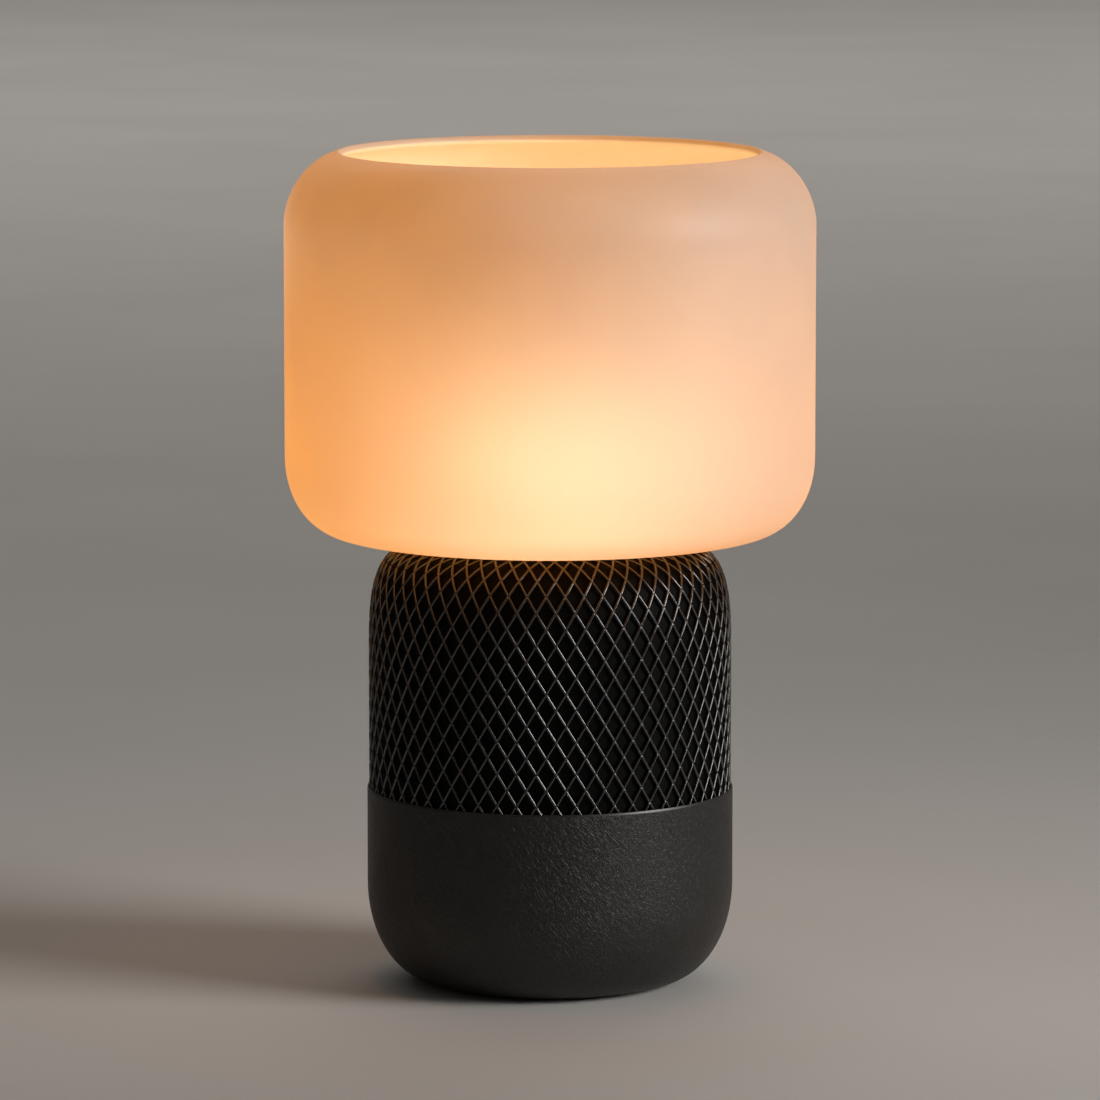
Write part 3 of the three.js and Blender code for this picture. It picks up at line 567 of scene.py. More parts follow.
def wrinkled_shell():
    """Charcoal paint over fine wrinkles that lie mostly one way, like pressed leather.
    A few long creases cross them."""
    material, tree, shader = start("charcoal_shell")
    fine = ridges(tree, unrolled(tree, 2.6, 1.7), 0.11, 2.0, 1.0)
    long = ridges(tree, unrolled(tree, 20, 4.0), 0.025, 1.0)
    broken = remap(tree, noise(tree, 7, 2.0), 0.46, 0.56, 0.0, 1.0)
    height = maths(tree, "ADD", fine, maths(tree, "MULTIPLY", long, broken))
    tone = weighted(tree, fine, noise(tree, 30, 3.0), 0.35)
    feed(tree, shader, {
        "Base Color": ramp(tree, tone, (0.25, (0.0060, 0.0054, 0.0047)), (0.75, (0.0125, 0.0113, 0.0102))),
        "Roughness": remap(tree, tone, 0.2, 0.8, 0.54, 0.42),
        "Normal": bump(tree, noise(tree, 0.35, 3.0), 0.012, bump(tree, height, 0.1)),
        "Specular IOR Level": 0.6,
    })
    return material


def lattice_finish():
    """Satin black bars, a touch greyer and smoother where they are handled."""
    material, tree, shader = start("grille_black")
    fine, wide = noise(tree, 0.5, 3.0), noise(tree, 22, 2.0)
    feed(tree, shader, {
        "Base Color": ramp(tree, wide, (0.3, (0.0060, 0.0056, 0.0051)), (0.7, (0.0115, 0.0108, 0.0100))),
        "Roughness": remap(tree, fine, 0.3, 0.7, 0.2, 0.29),
        "Normal": bump(tree, fine, 0.004),
        "Specular IOR Level": 1.0,
        "IOR": 1.58,
    })
    return material


def woven(name, dark, light, pitch):
    """Treated cloth: two crossing sets of threads."""
    material, tree, shader = start(name)
    threads = []
    for axis in ("X", "Z"):
        wave = add(tree, "TexWave", {"Vector": coordinates(tree, pitch), "Scale": 1.0, "Distortion": 0.4},
                   bands_direction=axis)
        threads.append(wave.outputs["Fac"])
    weave = maths(tree, "MAXIMUM", *threads)
    feed(tree, shader, {
        "Base Color": ramp(tree, weave, (0.2, dark), (0.9, light)),
        "Normal": bump(tree, weave, 0.08),
        "Roughness": 0.85,
        "Sheen Weight": 0.2,
    })
    return material


def circuit_board():
    """Green solder mask over square-cornered copper tracks."""
    material, tree, shader = start("circuit_board")
    tracks = add(tree, "TexBrick", {
        "Vector": coordinates(tree, 9), "Scale": 1.0, "Bias": 0.0,
        "Brick Width": 0.9, "Row Height": 0.35, "Mortar Size": 0.05, "Mortar Smooth": 0.1,
        "Color1": (0.006, 0.045, 0.018, 1), "Color2": (0.010, 0.060, 0.024, 1),
        "Mortar": (0.03, 0.13, 0.05, 1),
    })
    feed(tree, shader, {
        "Base Color": tracks.outputs["Color"],
        "Normal": bump(tree, tracks.outputs["Fac"], 0.035),
        "Roughness": remap(tree, noise(tree, 3), 0.3, 0.7, 0.25, 0.4),
    })
    return material


def floor_finish():
    """A plain pale studio floor."""
    material, tree, shader = start("studio_floor")
    feed(tree, shader, {
        "Base Color": ramp(tree, noise(tree, 400, 3.0), (0.3, (0.76, 0.74, 0.71)), (0.7, (0.81, 0.79, 0.76))),
        "Roughness": 0.7,
        "Specular IOR Level": 0.3,
    })
    return material


GLASS_OUT, GLASS_IN = opal_outside(), opal_inside()
DIFFUSER = lamp_diffuser()
CHARCOAL = wrinkled_shell()
EDGE = surface("charcoal_edge", (0.011, 0.010, 0.009), (0.018, 0.017, 0.0155), (0.38, 0.46), 0.6, 0.003,
               specular=0.8)
LATTICE = lattice_finish()
SLEEVE = surface("sleeve_black", (0.0007, 0.0007, 0.0007), (0.0026, 0.0025, 0.0024), (0.6, 0.72), 0.8, 0.01,
                 broad=5.0, specular=0.09)
SATIN = surface("satin_black", (0.010, 0.010, 0.010), (0.020, 0.0195, 0.019), (0.38, 0.5), 0.6, 0.012)
INNER = surface("inner_black", (0.006, 0.006, 0.006), (0.014, 0.014, 0.014), (0.55, 0.7), 0.8, 0.02)
RUBBER = surface("foot_rubber", (0.010, 0.010, 0.010), (0.022, 0.021, 0.020), (0.75, 0.9), 0.5, 0.03)
SILICONE = surface("silicone", (0.022, 0.022, 0.022), (0.038, 0.037, 0.036), (0.6, 0.72), 1.2, 0.01)
WHITE = surface("white_plastic", (0.70, 0.68, 0.64), (0.80, 0.78, 0.74), (0.35, 0.45), 1.5, 0.008)
PORCELAIN = surface("porcelain", (0.66, 0.63, 0.57), (0.76, 0.73, 0.68), (0.18, 0.3), 2.0, 0.01, coat=0.4)
NICKEL = surface("nickel", (0.52, 0.50, 0.46), (0.70, 0.68, 0.64), (0.18, 0.32), 2.0, 0.004, metal=1.0)
BRASS = surface("brass", (0.42, 0.29, 0.10), (0.66, 0.48, 0.19), (0.22, 0.38), 2.5, 0.006, metal=1.0)
STEEL = surface("steel", (0.32, 0.32, 0.33), (0.50, 0.50, 0.51), (0.3, 0.45), 0.5, 0.006, metal=1.0,
                stretch=(1, 1, 6))
ALUMINIUM = surface("aluminium", (0.42, 0.43, 0.44), (0.60, 0.61, 0.62), (0.35, 0.5), 0.4, 0.01, metal=1.0,
                    stretch=(5, 1, 1))
FERRITE = surface("ferrite", (0.025, 0.025, 0.027), (0.05, 0.05, 0.053), (0.6, 0.8), 0.7, 0.04)
COPPER = surface("coil_winding", (0.26, 0.08, 0.025), (0.50, 0.19, 0.07), (0.25, 0.4), 0.25, 0.03, metal=1.0,
                 stretch=(0.2, 1, 0.2))
PAPER = surface("paper_cone", (0.012, 0.012, 0.012), (0.03, 0.03, 0.029), (0.8, 0.95), 0.6, 0.05)
CLOTH = woven("treated_fabric", (0.20, 0.11, 0.03), (0.52, 0.34, 0.11), 0.5)
BOARD = circuit_board()
TAPE = surface("transformer_wrap", (0.50, 0.33, 0.03), (0.66, 0.47, 0.07), (0.3, 0.42), 4.0, 0.02,
               stretch=(0.3, 0.3, 4))
SLEEVING = surface("capacitor_sleeve", (0.015, 0.025, 0.06), (0.03, 0.05, 0.11), (0.2, 0.3), 3.0, 0.01)
LIGHT_PIPE = surface("clear_light_pipe", (0.62, 0.68, 0.68), (0.76, 0.81, 0.80), (0.08, 0.16), 2.0, 0.004)
CABLE = surface("cable", (0.012, 0.012, 0.012), (0.026, 0.026, 0.026), (0.45, 0.58), 0.8, 0.015)
PRINT = surface("white_print", (0.52, 0.51, 0.49), (0.62, 0.61, 0.59), (0.5, 0.6), 0.4, 0.004)
GOLD = surface("gold_plate", (0.62, 0.42, 0.13), (0.82, 0.60, 0.22), (0.15, 0.25), 0.8, 0.002, metal=1.0)
INSULATOR = surface("black_glass", (0.006, 0.006, 0.007), (0.012, 0.012, 0.013), (0.06, 0.12), 2.0, 0.003)


# ------------------------------------------------------------------ floor

FLOOR_REACH = 12000
corners = [(x * FLOOR_REACH, y * FLOOR_REACH, 0) for x, y in ((-1, -1), (1, -1), (1, 1), (-1, 1))]
floor = mesh("floor", corners, [(0, 1, 2, 3)], floor_finish())


# ------------------------------------------------------------------ glass shade

def shade_profile():
    """The glass up the outside, over the lip, down the inside and round the base's hole.
    Also says which of its points lie on the inside."""
    inner = SHADE_R - SHADE_WALL
    base, top = shade_low.z, shade_high.z
    low_out = superellipse(SHADE_R, SHADE_LOW_Z, SHADE_FLAT_R, base, LOW_POWER, 22)
    low_in = superellipse(inner, SHADE_LOW_Z, SHADE_FLAT_R, base + SHADE_WALL, LOW_POWER, 20)
    high_r = SHADE_LIP_R - 1.1
    high_out = superellipse(SHADE_R, SHADE_HIGH_Z, high_r, top, HIGH_POWER, 26)
    high_in = superellipse(inner, SHADE_HIGH_Z, high_r, top - SHADE_WALL, HIGH_POWER, 24)
    half = SHADE_WALL / 2
    lip = arc(SHADE_LIP_R + half, top - half - 0.05, half, 90, 270, LIP_STEPS)
    hole = arc(SHADE_HOLE_R + half, base + half, half, 270, 90, HOLE_STEPS)
    lip_start = SHADE_LIP_R + half + 0.6
    outside = [p for p in high_out if p[0] > lip_start]
    inside = [p for p in high_in if p[0] > lip_start]
    profile = low_out[::-1] + outside + lip + inside[::-1] + low_in + hole
    first_inside = len(low_out) + len(outside) + LIP_STEPS // 2
    return profile, range(first_inside, len(profile) - HOLE_STEPS // 2 - 1)


def glass_shade():
    """The opal glass, one closed wall whose outer and inner faces have their own finish."""
    profile, inside = shade_profile()
    obj = turned("opal_shade", profile, [GLASS_OUT, GLASS_IN], SHADE_STEPS, sharp=80)
    for face in obj.data.polygons:
        face.material_index = 1 if min(face.vertices) // SHADE_STEPS in inside else 0
    return show(obj, "shade", "opal_glass", "glass_shade")


glass_shade()

fitter_low, fitter_high = span("shade_fitter")
FITTER_BORE, FITTER_TUBE, FLANGE = 37, 39.6, 1.35
show(turned("shade_collar", rounded([
    (FITTER_BORE, fitter_low.z, 0.4),
    (fitter_high.x, fitter_low.z, 0.4),
    (fitter_high.x, fitter_low.z + FLANGE, 0.4),
    (FITTER_TUBE, fitter_low.z + FLANGE, 0),
    (FITTER_TUBE, fitter_high.z, 0.7),
    (FITTER_BORE, fitter_high.z, 0.7),
]), SATIN, MEDIUM), "shade", "satin_black", "shade_fitter")

ring_low, ring_high = span("shade_lock_ring")
GRIPS, GRIP_DEPTH, GRIP_START_R = 24, 1.1, 42


def grip_ring(r, z, angle):
    """Finger grips round the ring's edge."""
    wave = math.cos(GRIPS * angle)
    edge = max(0.0, (r - GRIP_START_R) / (ring_high.x - GRIP_START_R))
    return r - edge * GRIP_DEPTH * max(0.0, wave) ** 2, z


ring_bore = FITTER_TUBE + 0.3
show(turned("lock_ring", rounded([
    (ring_bore, ring_low.z, 0.3),
    (ring_high.x, ring_low.z, 0.5),
    (ring_high.x, ring_high.z, 0.9),
    (ring_bore, ring_high.z, 0.5),
]), SATIN, GRIP_STEPS, grip_ring), "shade", "satin_black", "shade_lock_ring")


# ------------------------------------------------------------------ bulb

cap_low, cap_high = span("bulb_cap")
body_low, body_high = span("bulb_body")
THREAD_PITCH, THREAD_DEPTH, SOCKET_THREAD_DEPTH = 3.63, 0.75, 0.7
CAP_THREAD = (cap_low.z + 6, cap_high.z - 2.5)      # heights between which the bulb's cap is threaded


def thread(z, angle, low, high):
    """A rounded screw thread's depth from 0 to 1, which fades out towards both ends."""
    fade = min(1.0, max(0.0, (z - low) / 2), max(0.0, (high - z) / 2))
    phase = 2 * math.pi * z / THREAD_PITCH - angle
    return fade, 0.5 - 0.5 * math.cos(phase)


def cap_thread(r, z, angle):
    """The thread on the outside of the bulb's cap."""
    fade, depth = thread(z, angle, *CAP_THREAD)
    if r < cap_high.x - 0.01 or fade <= 0:
        return r, z
    return r - fade * THREAD_DEPTH * depth, z


def bulb():
    """The screw cap with its insulator and tip, the white collar and the milky dome."""
    crest = cap_high.x
    shell = [(crest, cap_low.z + 5.6 + i * 0.45) for i in range(41)]
    cap = turned("screw_cap", [
        (0, cap_low.z + 3.2), (11.6, cap_low.z + 3.6), (12.6, cap_low.z + 4.4), *shell,
        (crest, cap_high.z - 0.3), (crest - 0.4, cap_high.z), (0, cap_high.z),
    ], NICKEL, MEDIUM, cap_thread, 50)
    show(cap, "bulb", "nickel", "bulb_cap")
    show(turned("cap_insulator", rounded([
        (0, cap_low.z + 0.9, 0), (4.6, cap_low.z + 0.9, 0.5), (11.4, cap_low.z + 3.3, 0.4),
        (11.2, cap_low.z + 3.5, 0), (0, cap_low.z + 3.1, 0),
    ], closed=False), INSULATOR, SMALL), "bulb", "nickel")
    show(turned("cap_tip", rounded([
        (0, cap_low.z, 0), (2.6, cap_low.z, 0.6), (4.3, cap_low.z + 0.8, 0.1), (0, cap_low.z + 0.85, 0),
    ], closed=False), BRASS, SMALL), "bulb", "nickel")
    body = turned("bulb_collar", rounded([
        (0, body_low.z, 0), (14.2, body_low.z, 0.5), (15.5, body_low.z + 3.7, 3),
        (body_high.x, body_high.z, 0.4), (0, body_high.z, 0),
    ], closed=False, steps=6), WHITE, MEDIUM)
    show(body, "bulb", "white_plastic", "bulb_body")
    ball = arc(0, dome_high.z - DOME_R, DOME_R, -20, 90, 26)
    neck = [(body_high.x, dome_low.z), (20.4, dome_low.z + 5.7), (24.6, dome_low.z + 16.7)]
    dome_profile = [(0, dome_low.z), *neck, *ball[:-1], (0, dome_high.z)]
    dome = turned("bulb_glass", dome_profile, DIFFUSER, MEDIUM)
    show(dome, "bulb", "lamp_diffuser", "bulb_dome")


bulb()


# ------------------------------------------------------------------ top cap and lamp socket

deck_low, deck_high = span("top_cap")
SPIGOT_R, SPIGOT_BORE, SPIGOT_Z = 36.6, 33, 204
DECK_Z, STEP_R, STEP_Z = 191.5, 49.5, 195
BULB_HOLE_R = 21.5
show(turned("top_deck", rounded([
    (SPIGOT_R, SPIGOT_Z, 0.6), (SPIGOT_BORE, SPIGOT_Z, 0.6), (SPIGOT_BORE, DECK_Z, 0.8),
    (BULB_HOLE_R, DECK_Z, 0.4), (BULB_HOLE_R, deck_low.z, 0.3),
    (deck_high.x, deck_low.z, 0.4), (deck_high.x, DECK_Z, 0.3),
    (STEP_R, DECK_Z, 0), (STEP_R, STEP_Z, 0.8), (SPIGOT_R, STEP_Z, 0.3),
]), SATIN, MEDIUM), "base", "satin_black", "top_cap")

seal_low, seal_high = span("shade_gasket")
SEAL_BORE, SEAL_GROOVE_R, SEAL_GROOVE_DEPTH = 44, 46.6, 0.45
show(turned("seal_ring", rounded([
    (SEAL_BORE, seal_low.z, 0.3), (seal_high.x, seal_low.z, 0.3), (seal_high.x, seal_high.z, 0.5),
    (SEAL_GROOVE_R, seal_high.z - SEAL_GROOVE_DEPTH, 0.3), (SEAL_BORE, seal_high.z, 0.5),
]), SILICONE, MEDIUM), "base", "silicone", "shade_gasket")

socket_low, socket_high = span("socket_shell")
SOCKET_BORE, SOCKET_FLOOR_Z = 17, 153
show(turned("socket_body", rounded([
    (0, socket_low.z, 0), (socket_high.x, socket_low.z, 1.2), (socket_high.x, socket_high.z, 1.0),
    (SOCKET_BORE, socket_high.z, 0.8), (SOCKET_BORE, SOCKET_FLOOR_Z, 1.0), (0, SOCKET_FLOOR_Z, 0),
], closed=False), PORCELAIN, MEDIUM), "base", "porcelain", "socket_shell")

screw_low, screw_high = span("socket_sleeve")
SCREW_OUTER_R, SCREW_INNER_R, SCREW_STEPS = 14.7, 14.1, 44


def socket_thread(r, z, angle):
    """The socket's thread, rolled into both faces of the sleeve."""
    fade, depth = thread(z, angle, screw_low.z, screw_high.z)
    return r + fade * SOCKET_THREAD_DEPTH * depth, z


screw_length = screw_high.z - screw_low.z
heights = [screw_low.z + screw_length * i / SCREW_STEPS for i in range(SCREW_STEPS + 1)]
show(turned(
    "socket_thread",
    [(SCREW_OUTER_R, z) for z in heights] + [(SCREW_INNER_R, z) for z in reversed(heights)],
    BRASS, MEDIUM, socket_thread, 50,
), "base", "brass", "socket_sleeve")


# ------------------------------------------------------------------ lattice grille and sleeve

def grille_path(inset):
    """The grille's outline moved inwards, from the seam up to its top edge."""
    curve = superellipse(
        GRILLE_R - inset, GRILLE_SHOULDER_Z, GRILLE_EDGE_R, grille_high.z - inset, GRILLE_POWER, 60)
    return [(GRILLE_R - inset, grille_low.z)] + curve


def on_path(path, distance):
    """The point at a distance along a path, and the path's direction there."""
    for a, b in zip(path, path[1:]):
        step = math.dist(a, b)
        if distance <= step or b is path[-1]:
            t = min(distance / step, 1.0)
            way = Vector((b[0] - a[0], b[1] - a[1])) / step
            return Vector((a[0] + (b[0] - a[0]) * t, a[1] + (b[1] - a[1]) * t)), way
        distance -= step


END_GAP = 0.2                           # a bar has no ring of points this near to its ends
TOP_INSET = 0.5                         # how far below the grille's edge the bars end
RIM_ARC = (0, 330, 11)                  # a rim's outline is closed by its last facet


def bar_steps(length):
    """The distances up the outline where a bar has a ring of points, and how far it dips at each."""
    steps = [(0.0, 0.0)]
    row = CROSSING[1] % ROW_PITCH - ROW_PITCH
    while row < length:
        for part, share in NOTCH:
            distance = row + part * ROW_PITCH
            if END_GAP < distance < length - END_GAP:
                steps.append((distance, share * NOTCH_DEPTH))
        row += ROW_PITCH
    return steps + [(length, 0.0)]


def strand(verts, faces, path, length, angle, lean):
    """One bar of the lattice, wound once from the seam to the top edge, as a closed tube."""
    steps = bar_steps(length)
    count = len(steps) - 1
    spots = []
    for distance, dip in steps:
        (r, z), (rise_r, rise_z) = on_path(path, distance)
        turn = angle + lean * (distance - CROSSING[1]) / ROW_PITCH * math.pi / DIAMONDS
        outwards = Vector((math.cos(turn), math.sin(turn), 0))
        normal = outwards * rise_z - Vector((0, 0, rise_r))
        spots.append((outwards * r + Vector((0, 0, z)) - normal * dip, normal))
    first = len(verts)
    for i, (spot, normal) in enumerate(spots):
        ahead = (spots[min(i + 1, count)][0] - spots[max(i - 1, 0)][0]).normalized()
        side = ahead.cross(normal).normalized()
        for k in range(BAR_SIDES):
            around = 2 * math.pi * k / BAR_SIDES
            verts.append(spot + (normal * math.cos(around) + side * math.sin(around)) * BAR_RADIUS)
    for i in range(count):
        low = first + i * BAR_SIDES
        for k in range(BAR_SIDES):
            j = (k + 1) % BAR_SIDES
            faces.append([low + k, low + j, low + BAR_SIDES + j, low + BAR_SIDES + k])
    faces.append(list(range(first + BAR_SIDES - 1, first - 1, -1)))
    last = first + count * BAR_SIDES
    faces.append(list(range(last, last + BAR_SIDES)))


def lattice():
    """Two sets of bars that wind opposite ways round the outline and meet at every row.
    A rim closes them at each end."""
    path = grille_path(BAR_RADIUS + BAR_INSET)
    path[0] = (path[0][0], LATTICE_FOOT_Z)
    length = sum(math.dist(a, b) for a, b in zip(path, path[1:])) - TOP_INSET
    verts, faces = [], []
    for lean in (-1, 1):
        for i in range(DIAMONDS):
            angle = math.radians(CROSSING[0] - 90) + 2 * math.pi * i / DIAMONDS
            strand(verts, faces, path, length, angle, lean)
    bars = mesh("lattice_grille", verts, faces, LATTICE, 60)
    base_rim = turned("rim", arc(*path[0], BAR_RADIUS - 0.05, *RIM_ARC), LATTICE, LARGE)
    top = on_path(path, length)[0]
    top_rim = turned("rim", arc(*top, BAR_RADIUS + 0.1, *RIM_ARC), LATTICE, LARGE)
    return show(joined(bars, base_rim, top_rim), "base", "grille_black", "grille_mesh")


lattice()

SLEEVE_INSET, SLEEVE_WALL = GRILLE_R - sleeve_high.x, 1
SLEEVE_EDGE_R = 57.5
SLEEVE_FOOT_Z = SEAM_Z - LIP_DEPTH + 0.2        # just above the ledge inside the housing's lip


def sleeve_profile():
    """A thin wall just behind the lattice, up to where the top cap hides it."""
    outer = [p for p in grille_path(SLEEVE_INSET) if p[0] > SLEEVE_EDGE_R]
    inner = [p for p in grille_path(SLEEVE_INSET + SLEEVE_WALL) if p[0] > SLEEVE_EDGE_R]
    outer[0] = (outer[0][0], SLEEVE_FOOT_Z)
    inner[0] = (inner[0][0], SLEEVE_FOOT_Z)
    return outer + inner[::-1]


show(turned("sound_sleeve", sleeve_profile(), SLEEVE, LARGE), "base", "sleeve_black", "acoustic_sleeve")


# ------------------------------------------------------------------ lower housing

BOWL_FLOOR_Z = 7.4                      # of the housing's inner floor
COVER_R, COVER_HOLE_R, COVER_Z = 49, 40, 4.9        # the step in the bottom that holds the cover


def housing_profile():
    """The bowl up the outside, over the lip and its ledge, and down the inside to the bottom opening."""
    inner = BODY_R - BODY_WALL
    low = housing_low.z
    outside = superellipse(BODY_R, BOWL_TOP_Z, BOWL_FLAT_R, low, 2, 30)[::-1]
    inside = superellipse(inner, BOWL_TOP_Z, BOWL_FLAT_R, BOWL_FLOOR_Z, 2, 16)
    lip, ledge = BODY_R - LIP_WIDTH, SEAM_Z - LIP_DEPTH
    edge = rounded([
        (BODY_R, SEAM_Z - 4, 0), (BODY_R, SEAM_Z - 0.95, 0.3), (BODY_R - 0.28, SEAM_Z, 0.12),
        (lip, SEAM_Z, 0.1), (lip, ledge, 0.2), (inner, ledge, 0.4), (inner, SEAM_Z - 5, 0),
    ], closed=False, steps=4)
    opening = [(COVER_HOLE_R, BOWL_FLOOR_Z), (COVER_HOLE_R, COVER_Z), (COVER_R, COVER_Z)]
    return [(COVER_R, low), *outside, *edge, *inside, *opening]


def lower_housing():
    """The bowl with its openings for the rear panel, the buttons and the lamp switch."""
    obj = turned("charcoal_bowl", housing_profile(), [CHARCOAL, EDGE], LARGE)
    room = 0.3
    low, high = panel_low, panel_high
    window = box("window", (low.x - room, 50, low.z - room), (high.x + room, 100, high.z + room),
                 CHARCOAL, 3.3, "along")
    cutters = [window]
    for z in BUTTON_HEIGHTS.values():
        hole = turned("hole", [(0, 70), (5.35, 70), (5.35, 79.3), (6.4, 80.6), (6.4, 90), (0, 90)],
                      CHARCOAL, SMALL)
        cutters.append(place(hole, TO_BUTTONS @ shift(z=z) @ FACING_REAR))
    gap = box("gap", (-11, 60, SWITCH_Z - 7), (11, 100, SWITCH_Z + 7), CHARCOAL, 1.6, "along")
    cutters.append(place(gap, TO_SWITCH))
    carve(obj, cutters)
    for face in obj.data.polygons:
        face.material_index = 1 if face.center.z > (SEAM_Z - EDGE_HEIGHT) * MM else 0
    return show(obj, "base", "charcoal_shell", "lower_housing")


lower_housing()

_, foot_high = span("foot_ring")
FOOT_BORE, FOOT_EDGE_Z = 36, 0.4
GROOVE_START_R, GROOVE_END_R, GROOVE_PITCH, GROOVE_DEPTH = 37, 46.5, 2.375, 0.35


def foot_grooves(r, z, angle):
    """Fine rings on the sole of the foot."""
    if z > 0.2 or not GROOVE_START_R < r < GROOVE_END_R:
        return r, z
    phase = 2 * math.pi * (r - GROOVE_START_R) / GROOVE_PITCH
    return r, z + GROOVE_DEPTH * (0.5 - 0.5 * math.cos(phase))


sole = [(36.6 + i * 0.297, 0.0) for i in range(35)]
show(turned("rubber_foot", [
    (FOOT_BORE, FOOT_EDGE_Z), *sole, (foot_high.x, FOOT_EDGE_Z), (foot_high.x, foot_high.z),
    (FOOT_BORE, foot_high.z),
], RUBBER, MEDIUM, foot_grooves), "base", "foot_rubber", "foot_ring")


# ------------------------------------------------------------------ rear panel and its fittings

def oval(width, height, steps=12):
    """A flattened oval in the XZ plane."""
    radius, straight = height / 2, (width - height) / 2
    right = arc(straight, 0, radius, -90, 90, steps)
    left = arc(-straight, 0, radius, 90, 270, steps)
    return right + left


INLET_X, JACK_X, PANEL_Z = -17, 11, 62
PAIR_AT, LIGHT_AT = (26, 66), (26, 56)
PANEL_FACE_R = 79.4


def rear_panel():
    """A tray that follows the housing's curve, with a pocket for the connectors and a hole for each."""
    low, high = panel_low, panel_high
    tray = box("connector_panel", (low.x, low.y, low.z), (high.x, 90, high.z), SATIN, 3, "along", 5)
    side = turned("side", [(0, 40), (PANEL_FACE_R, 40), (PANEL_FACE_R, 84), (0, 84)], SATIN, LARGE)
    carve(tray, [side], "INTERSECT")
    wall = 2
    pocket = box("pocket", (low.x + wall, 67, low.z + wall), (high.x - wall, 100, high.z - wall),
                 SATIN, 2, "along", 5)
    inlet = place(prism("inlet", oval(21.6, 12.6), 60, 75, SATIN), shift(INLET_X, 0, PANEL_Z))
    jack = box("jack", (JACK_X - 8.3, 60, PANEL_Z - 7.1), (JACK_X + 8.3, 75, PANEL_Z + 7.1), SATIN)
    holes = []
    for (x, z), radius in ((PAIR_AT, 3.4), (LIGHT_AT, 1.6)):
        hole = turned("hole", [(0, 60), (radius, 60), (radius, 75), (0, 75)], SATIN, SMALL)
        holes.append(place(hole, shift(x, 0, z) @ FACING_REAR))
    carve(tray, [pocket, inlet, jack, *holes])
    soften(tray, 0.25)
    return show(tray, "base", "satin_black", "rear_panel")


rear_panel()


def power_inlet():
    """The mains inlet, a flattened oval with two pins."""
    body = prism("mains_inlet", oval(21, 12), 50, 69.2, INNER)
    carve(body, [prism("hollow", oval(16.6, 7.6), 56, 80, INNER)])
    soften(body, 0.3)
    place(body, shift(INLET_X, 0, PANEL_Z))
    show(body, "base", "inner_black", "power_inlet")
    for name, x in (("left", -4.3), ("right", 4.3)):
        section = rounded([(0, 56.3, 0), (1.2, 56.3, 0), (1.2, 66, 0.8), (0, 66, 0)], closed=False)
        pin = turned("mains_pin_" + name, section, NICKEL, TINY)
        place(pin, shift(INLET_X + x, 0, PANEL_Z) @ FACING_REAR)
        show(pin, "base", "nickel", "inlet_pin_" + name)


power_inlet()


def network_jack():
    """The network socket with its latch slot and its eight gilt contacts."""
    body = box("network_socket", (-8, 47, -6.8), (8, 68.6, 6.8), INNER)
    carve(body, [
        box("hollow", (-5.9, 54.6, -3.6), (5.9, 80, 4.6), INNER),
        box("latch", (-3.2, 54.6, -5.4), (3.2, 80, -3), INNER),
    ])
    soften(body, 0.25)
    place(body, shift(JACK_X, 0, PANEL_Z))
    show(body, "base", "inner_black", "ethernet_jack")
    pitch = 1.02
    contacts = joined(*[
        box("spring", (-3.8 + i * pitch, 55, 3.7), (-3.4 + i * pitch, 65, 4.2), GOLD) for i in range(8)
    ])
    contacts.name = "jack_contacts"
    place(contacts, shift(JACK_X, 0, PANEL_Z))
    show(contacts, "base", "brass")


network_jack()


def pair_button():
    """The pairing button and the status light's lens under it."""
    key = turned("pairing_key", rounded([
        (0, 60.8, 0), (4.4, 60.8, 0.2), (4.4, 62.6, 0.2), (3, 62.6, 0), (3, 68.2, 0.5), (1.6, 68.0, 0.6),
        (0, 67.9, 0),
    ], closed=False), SATIN, SMALL)
    place(key, shift(PAIR_AT[0], 0, PAIR_AT[1]) @ FACING_REAR)
    show(key, "pair_key", "satin_black", "pair_button")
    section = rounded([(0, 62, 0), (1.3, 62, 0), (1.3, 67.2, 0.5), (0, 67.4, 0)], closed=False)
    lens = turned("status_lens", section, LIGHT_PIPE, TINY)
    place(lens, shift(LIGHT_AT[0], 0, LIGHT_AT[1]) @ FACING_REAR)
    show(lens, "base", "clear_light_pipe", "status_light")


pair_button()


# ------------------------------------------------------------------ buttons and lamp switch

def cross(size, width):
    """A plus sign's outline."""
    a, b = size / 2, width / 2
    return [
        (-b, -a), (b, -a), (b, -b), (a, -b), (a, b), (b, b),
        (b, a), (-b, a), (-b, b), (-a, b), (-a, -b), (-b, -b),
    ]


BUTTONS = {                             # the body that each rides on, its mark's name and outline
    "button_volume_up": ("volume_up_key", "plus_mark", cross(3.6, 0.7)),
    "button_play": ("play_key", "play_mark", [(-1.3, -1.8), (1.9, 0), (-1.3, 1.8)]),
    "button_volume_down": (
        "volume_down_key", "minus_mark", [(-1.8, -0.35), (1.8, -0.35), (1.8, 0.35), (-1.8, 0.35)]),
}

for node, height in BUTTON_HEIGHTS.items():
    body, mark_name, outline = BUTTONS[node]
    spot = TO_BUTTONS @ shift(z=height)
    key = turned(node.replace("button", "key"), rounded([
        (0, 72.4, 0), (6, 72.4, 0.3), (6, 74.4, 0.3), (5, 74.4, 0), (5, 81, 0.7), (3.6, 80.85, 1.2),
        (0, 80.6, 0),
    ], closed=False, steps=5), SATIN, SMALL)
    show(place(key, spot @ FACING_REAR), body, "satin_black", node)
    mark = prism(mark_name, [(-x, z) for x, z in outline], 80.4, 80.85, PRINT, 0.08)
    show(place(mark, spot), body, "satin_black")


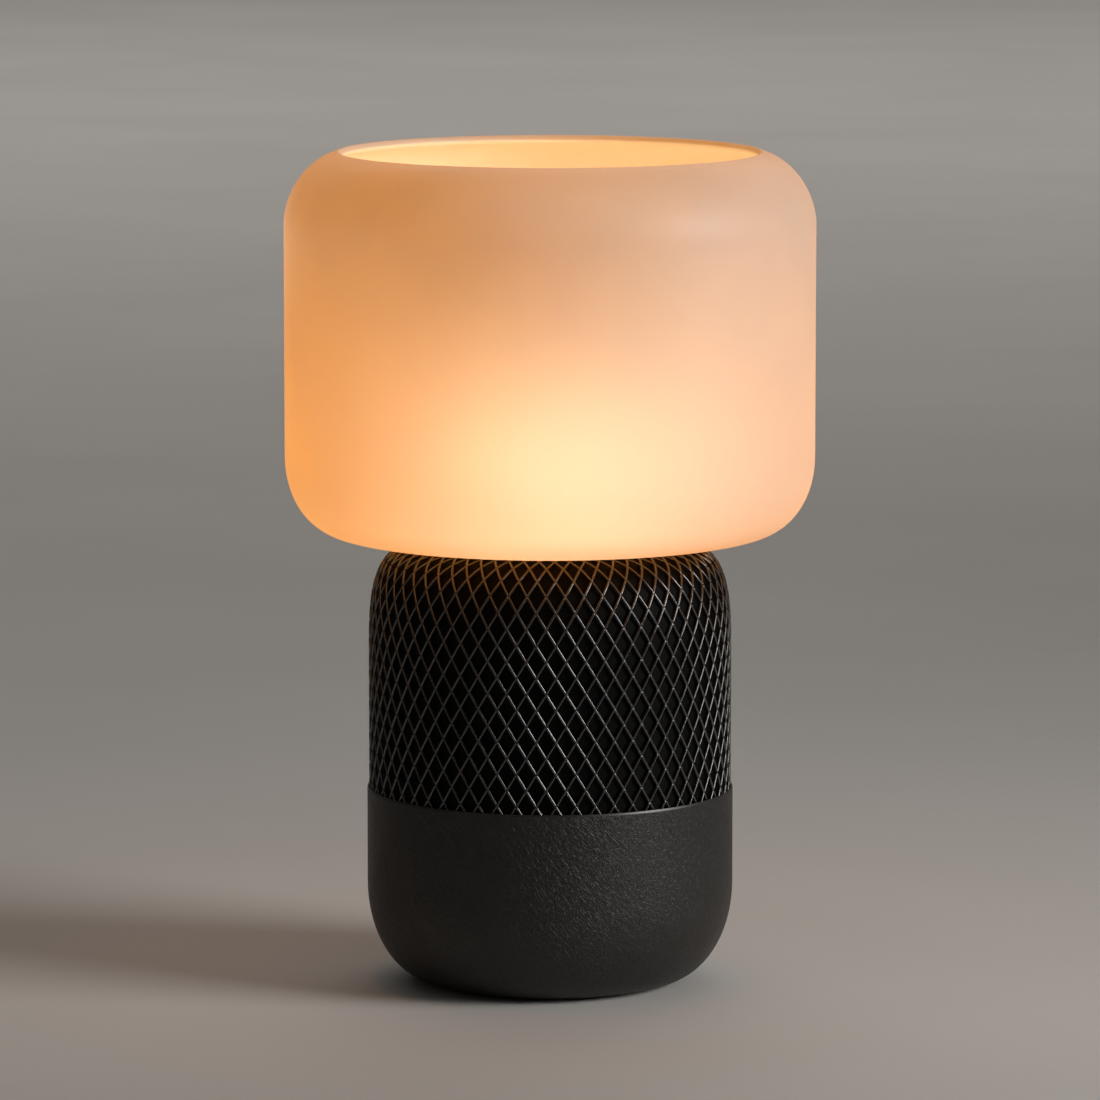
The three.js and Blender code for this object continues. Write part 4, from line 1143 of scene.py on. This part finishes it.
def lamp_switch():
    """The switch's case, and its paddle with a dot, tipped to its rest position on the pivot pin."""
    low, high = SWITCH_Z - SWITCH_HALF_H, SWITCH_Z + SWITCH_HALF_H
    case = box("switch_case", (-SWITCH_HALF_W, 62, low), (SWITCH_HALF_W, 80.4, high), INNER, 1.3, "along")
    pocket_half = SWITCH_HALF_W - SWITCH_WALL
    carve(case, [box("pocket", (-pocket_half, 70, low + SWITCH_WALL), (pocket_half, 90, high - SWITCH_WALL),
                     INNER, 0.5, "along")])
    soften(case, 0.3)
    show(place(case, TO_SWITCH), "base", "inner_black", "switch_housing")
    section = [
        (-8.2, 0.4), (-3, -3), (3, -3), (8.2, 0.4), (8.2, 3.6),
        (4.1, 2.75), (0, 2.3), (-4.1, 2.75), (-8.2, 3.6),
    ]
    paddle = prism("rocker_paddle", section, -5, 5, SATIN, 0.35)
    bore = turned("bore", [(0, -8), (PIN_BORE, -8), (PIN_BORE, 8), (0, 8)], SATIN, BORE_STEPS)
    carve(paddle, [place(bore, FACING_REAR)])
    spot = TO_SWITCH @ shift(0, PIVOT_R, SWITCH_Z) @ Matrix.Rotation(REST_TILT, 4, "Z")
    show(place(paddle, spot @ UPRIGHT), "rocker", "satin_black", "light_rocker")
    raised = rounded([(0, 3.0, 0), (0.75, 3.0, 0), (0.75, 3.32, 0.1), (0, 3.32, 0)], closed=False)
    dot = turned("rocker_mark", raised, PRINT, TINY)
    show(place(dot, spot @ shift(5.6) @ FACING_REAR), "rocker", "satin_black")


lamp_switch()


# ------------------------------------------------------------------ carried-over CAD nodes

FINISHES = {
    SATIN: ["bottom_cover"],
    INNER: ["speaker_enclosure", "front_baffle", "tweeter_frame"],
    STEEL: ["woofer_basket", "woofer_yoke", "rocker_pin"]
           + [f"{kind}_screw_{i}" for kind in ("cover", "woofer") for i in range(1, 5)],
    FERRITE: ["woofer_magnet", "tweeter_magnet"],
    RUBBER: ["woofer_surround"],
    CLOTH: ["woofer_spider", "tweeter_dome"],
    PAPER: ["woofer_cone", "dust_cap"],
    COPPER: ["voice_coil"],
    BRASS: ["socket_contact"],
    BOARD: ["main_board", "power_board", "button_board", "antenna_left", "antenna_right"],
    ALUMINIUM: ["heat_sink"],
    TAPE: ["transformer"],
    SLEEVING: ["capacitor"],
    CABLE: ["lamp_lead"],
}

for finish, nodes in FINISHES.items():
    for node in nodes:
        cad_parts[node].data.materials.clear()
        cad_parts[node].data.materials.append(finish)
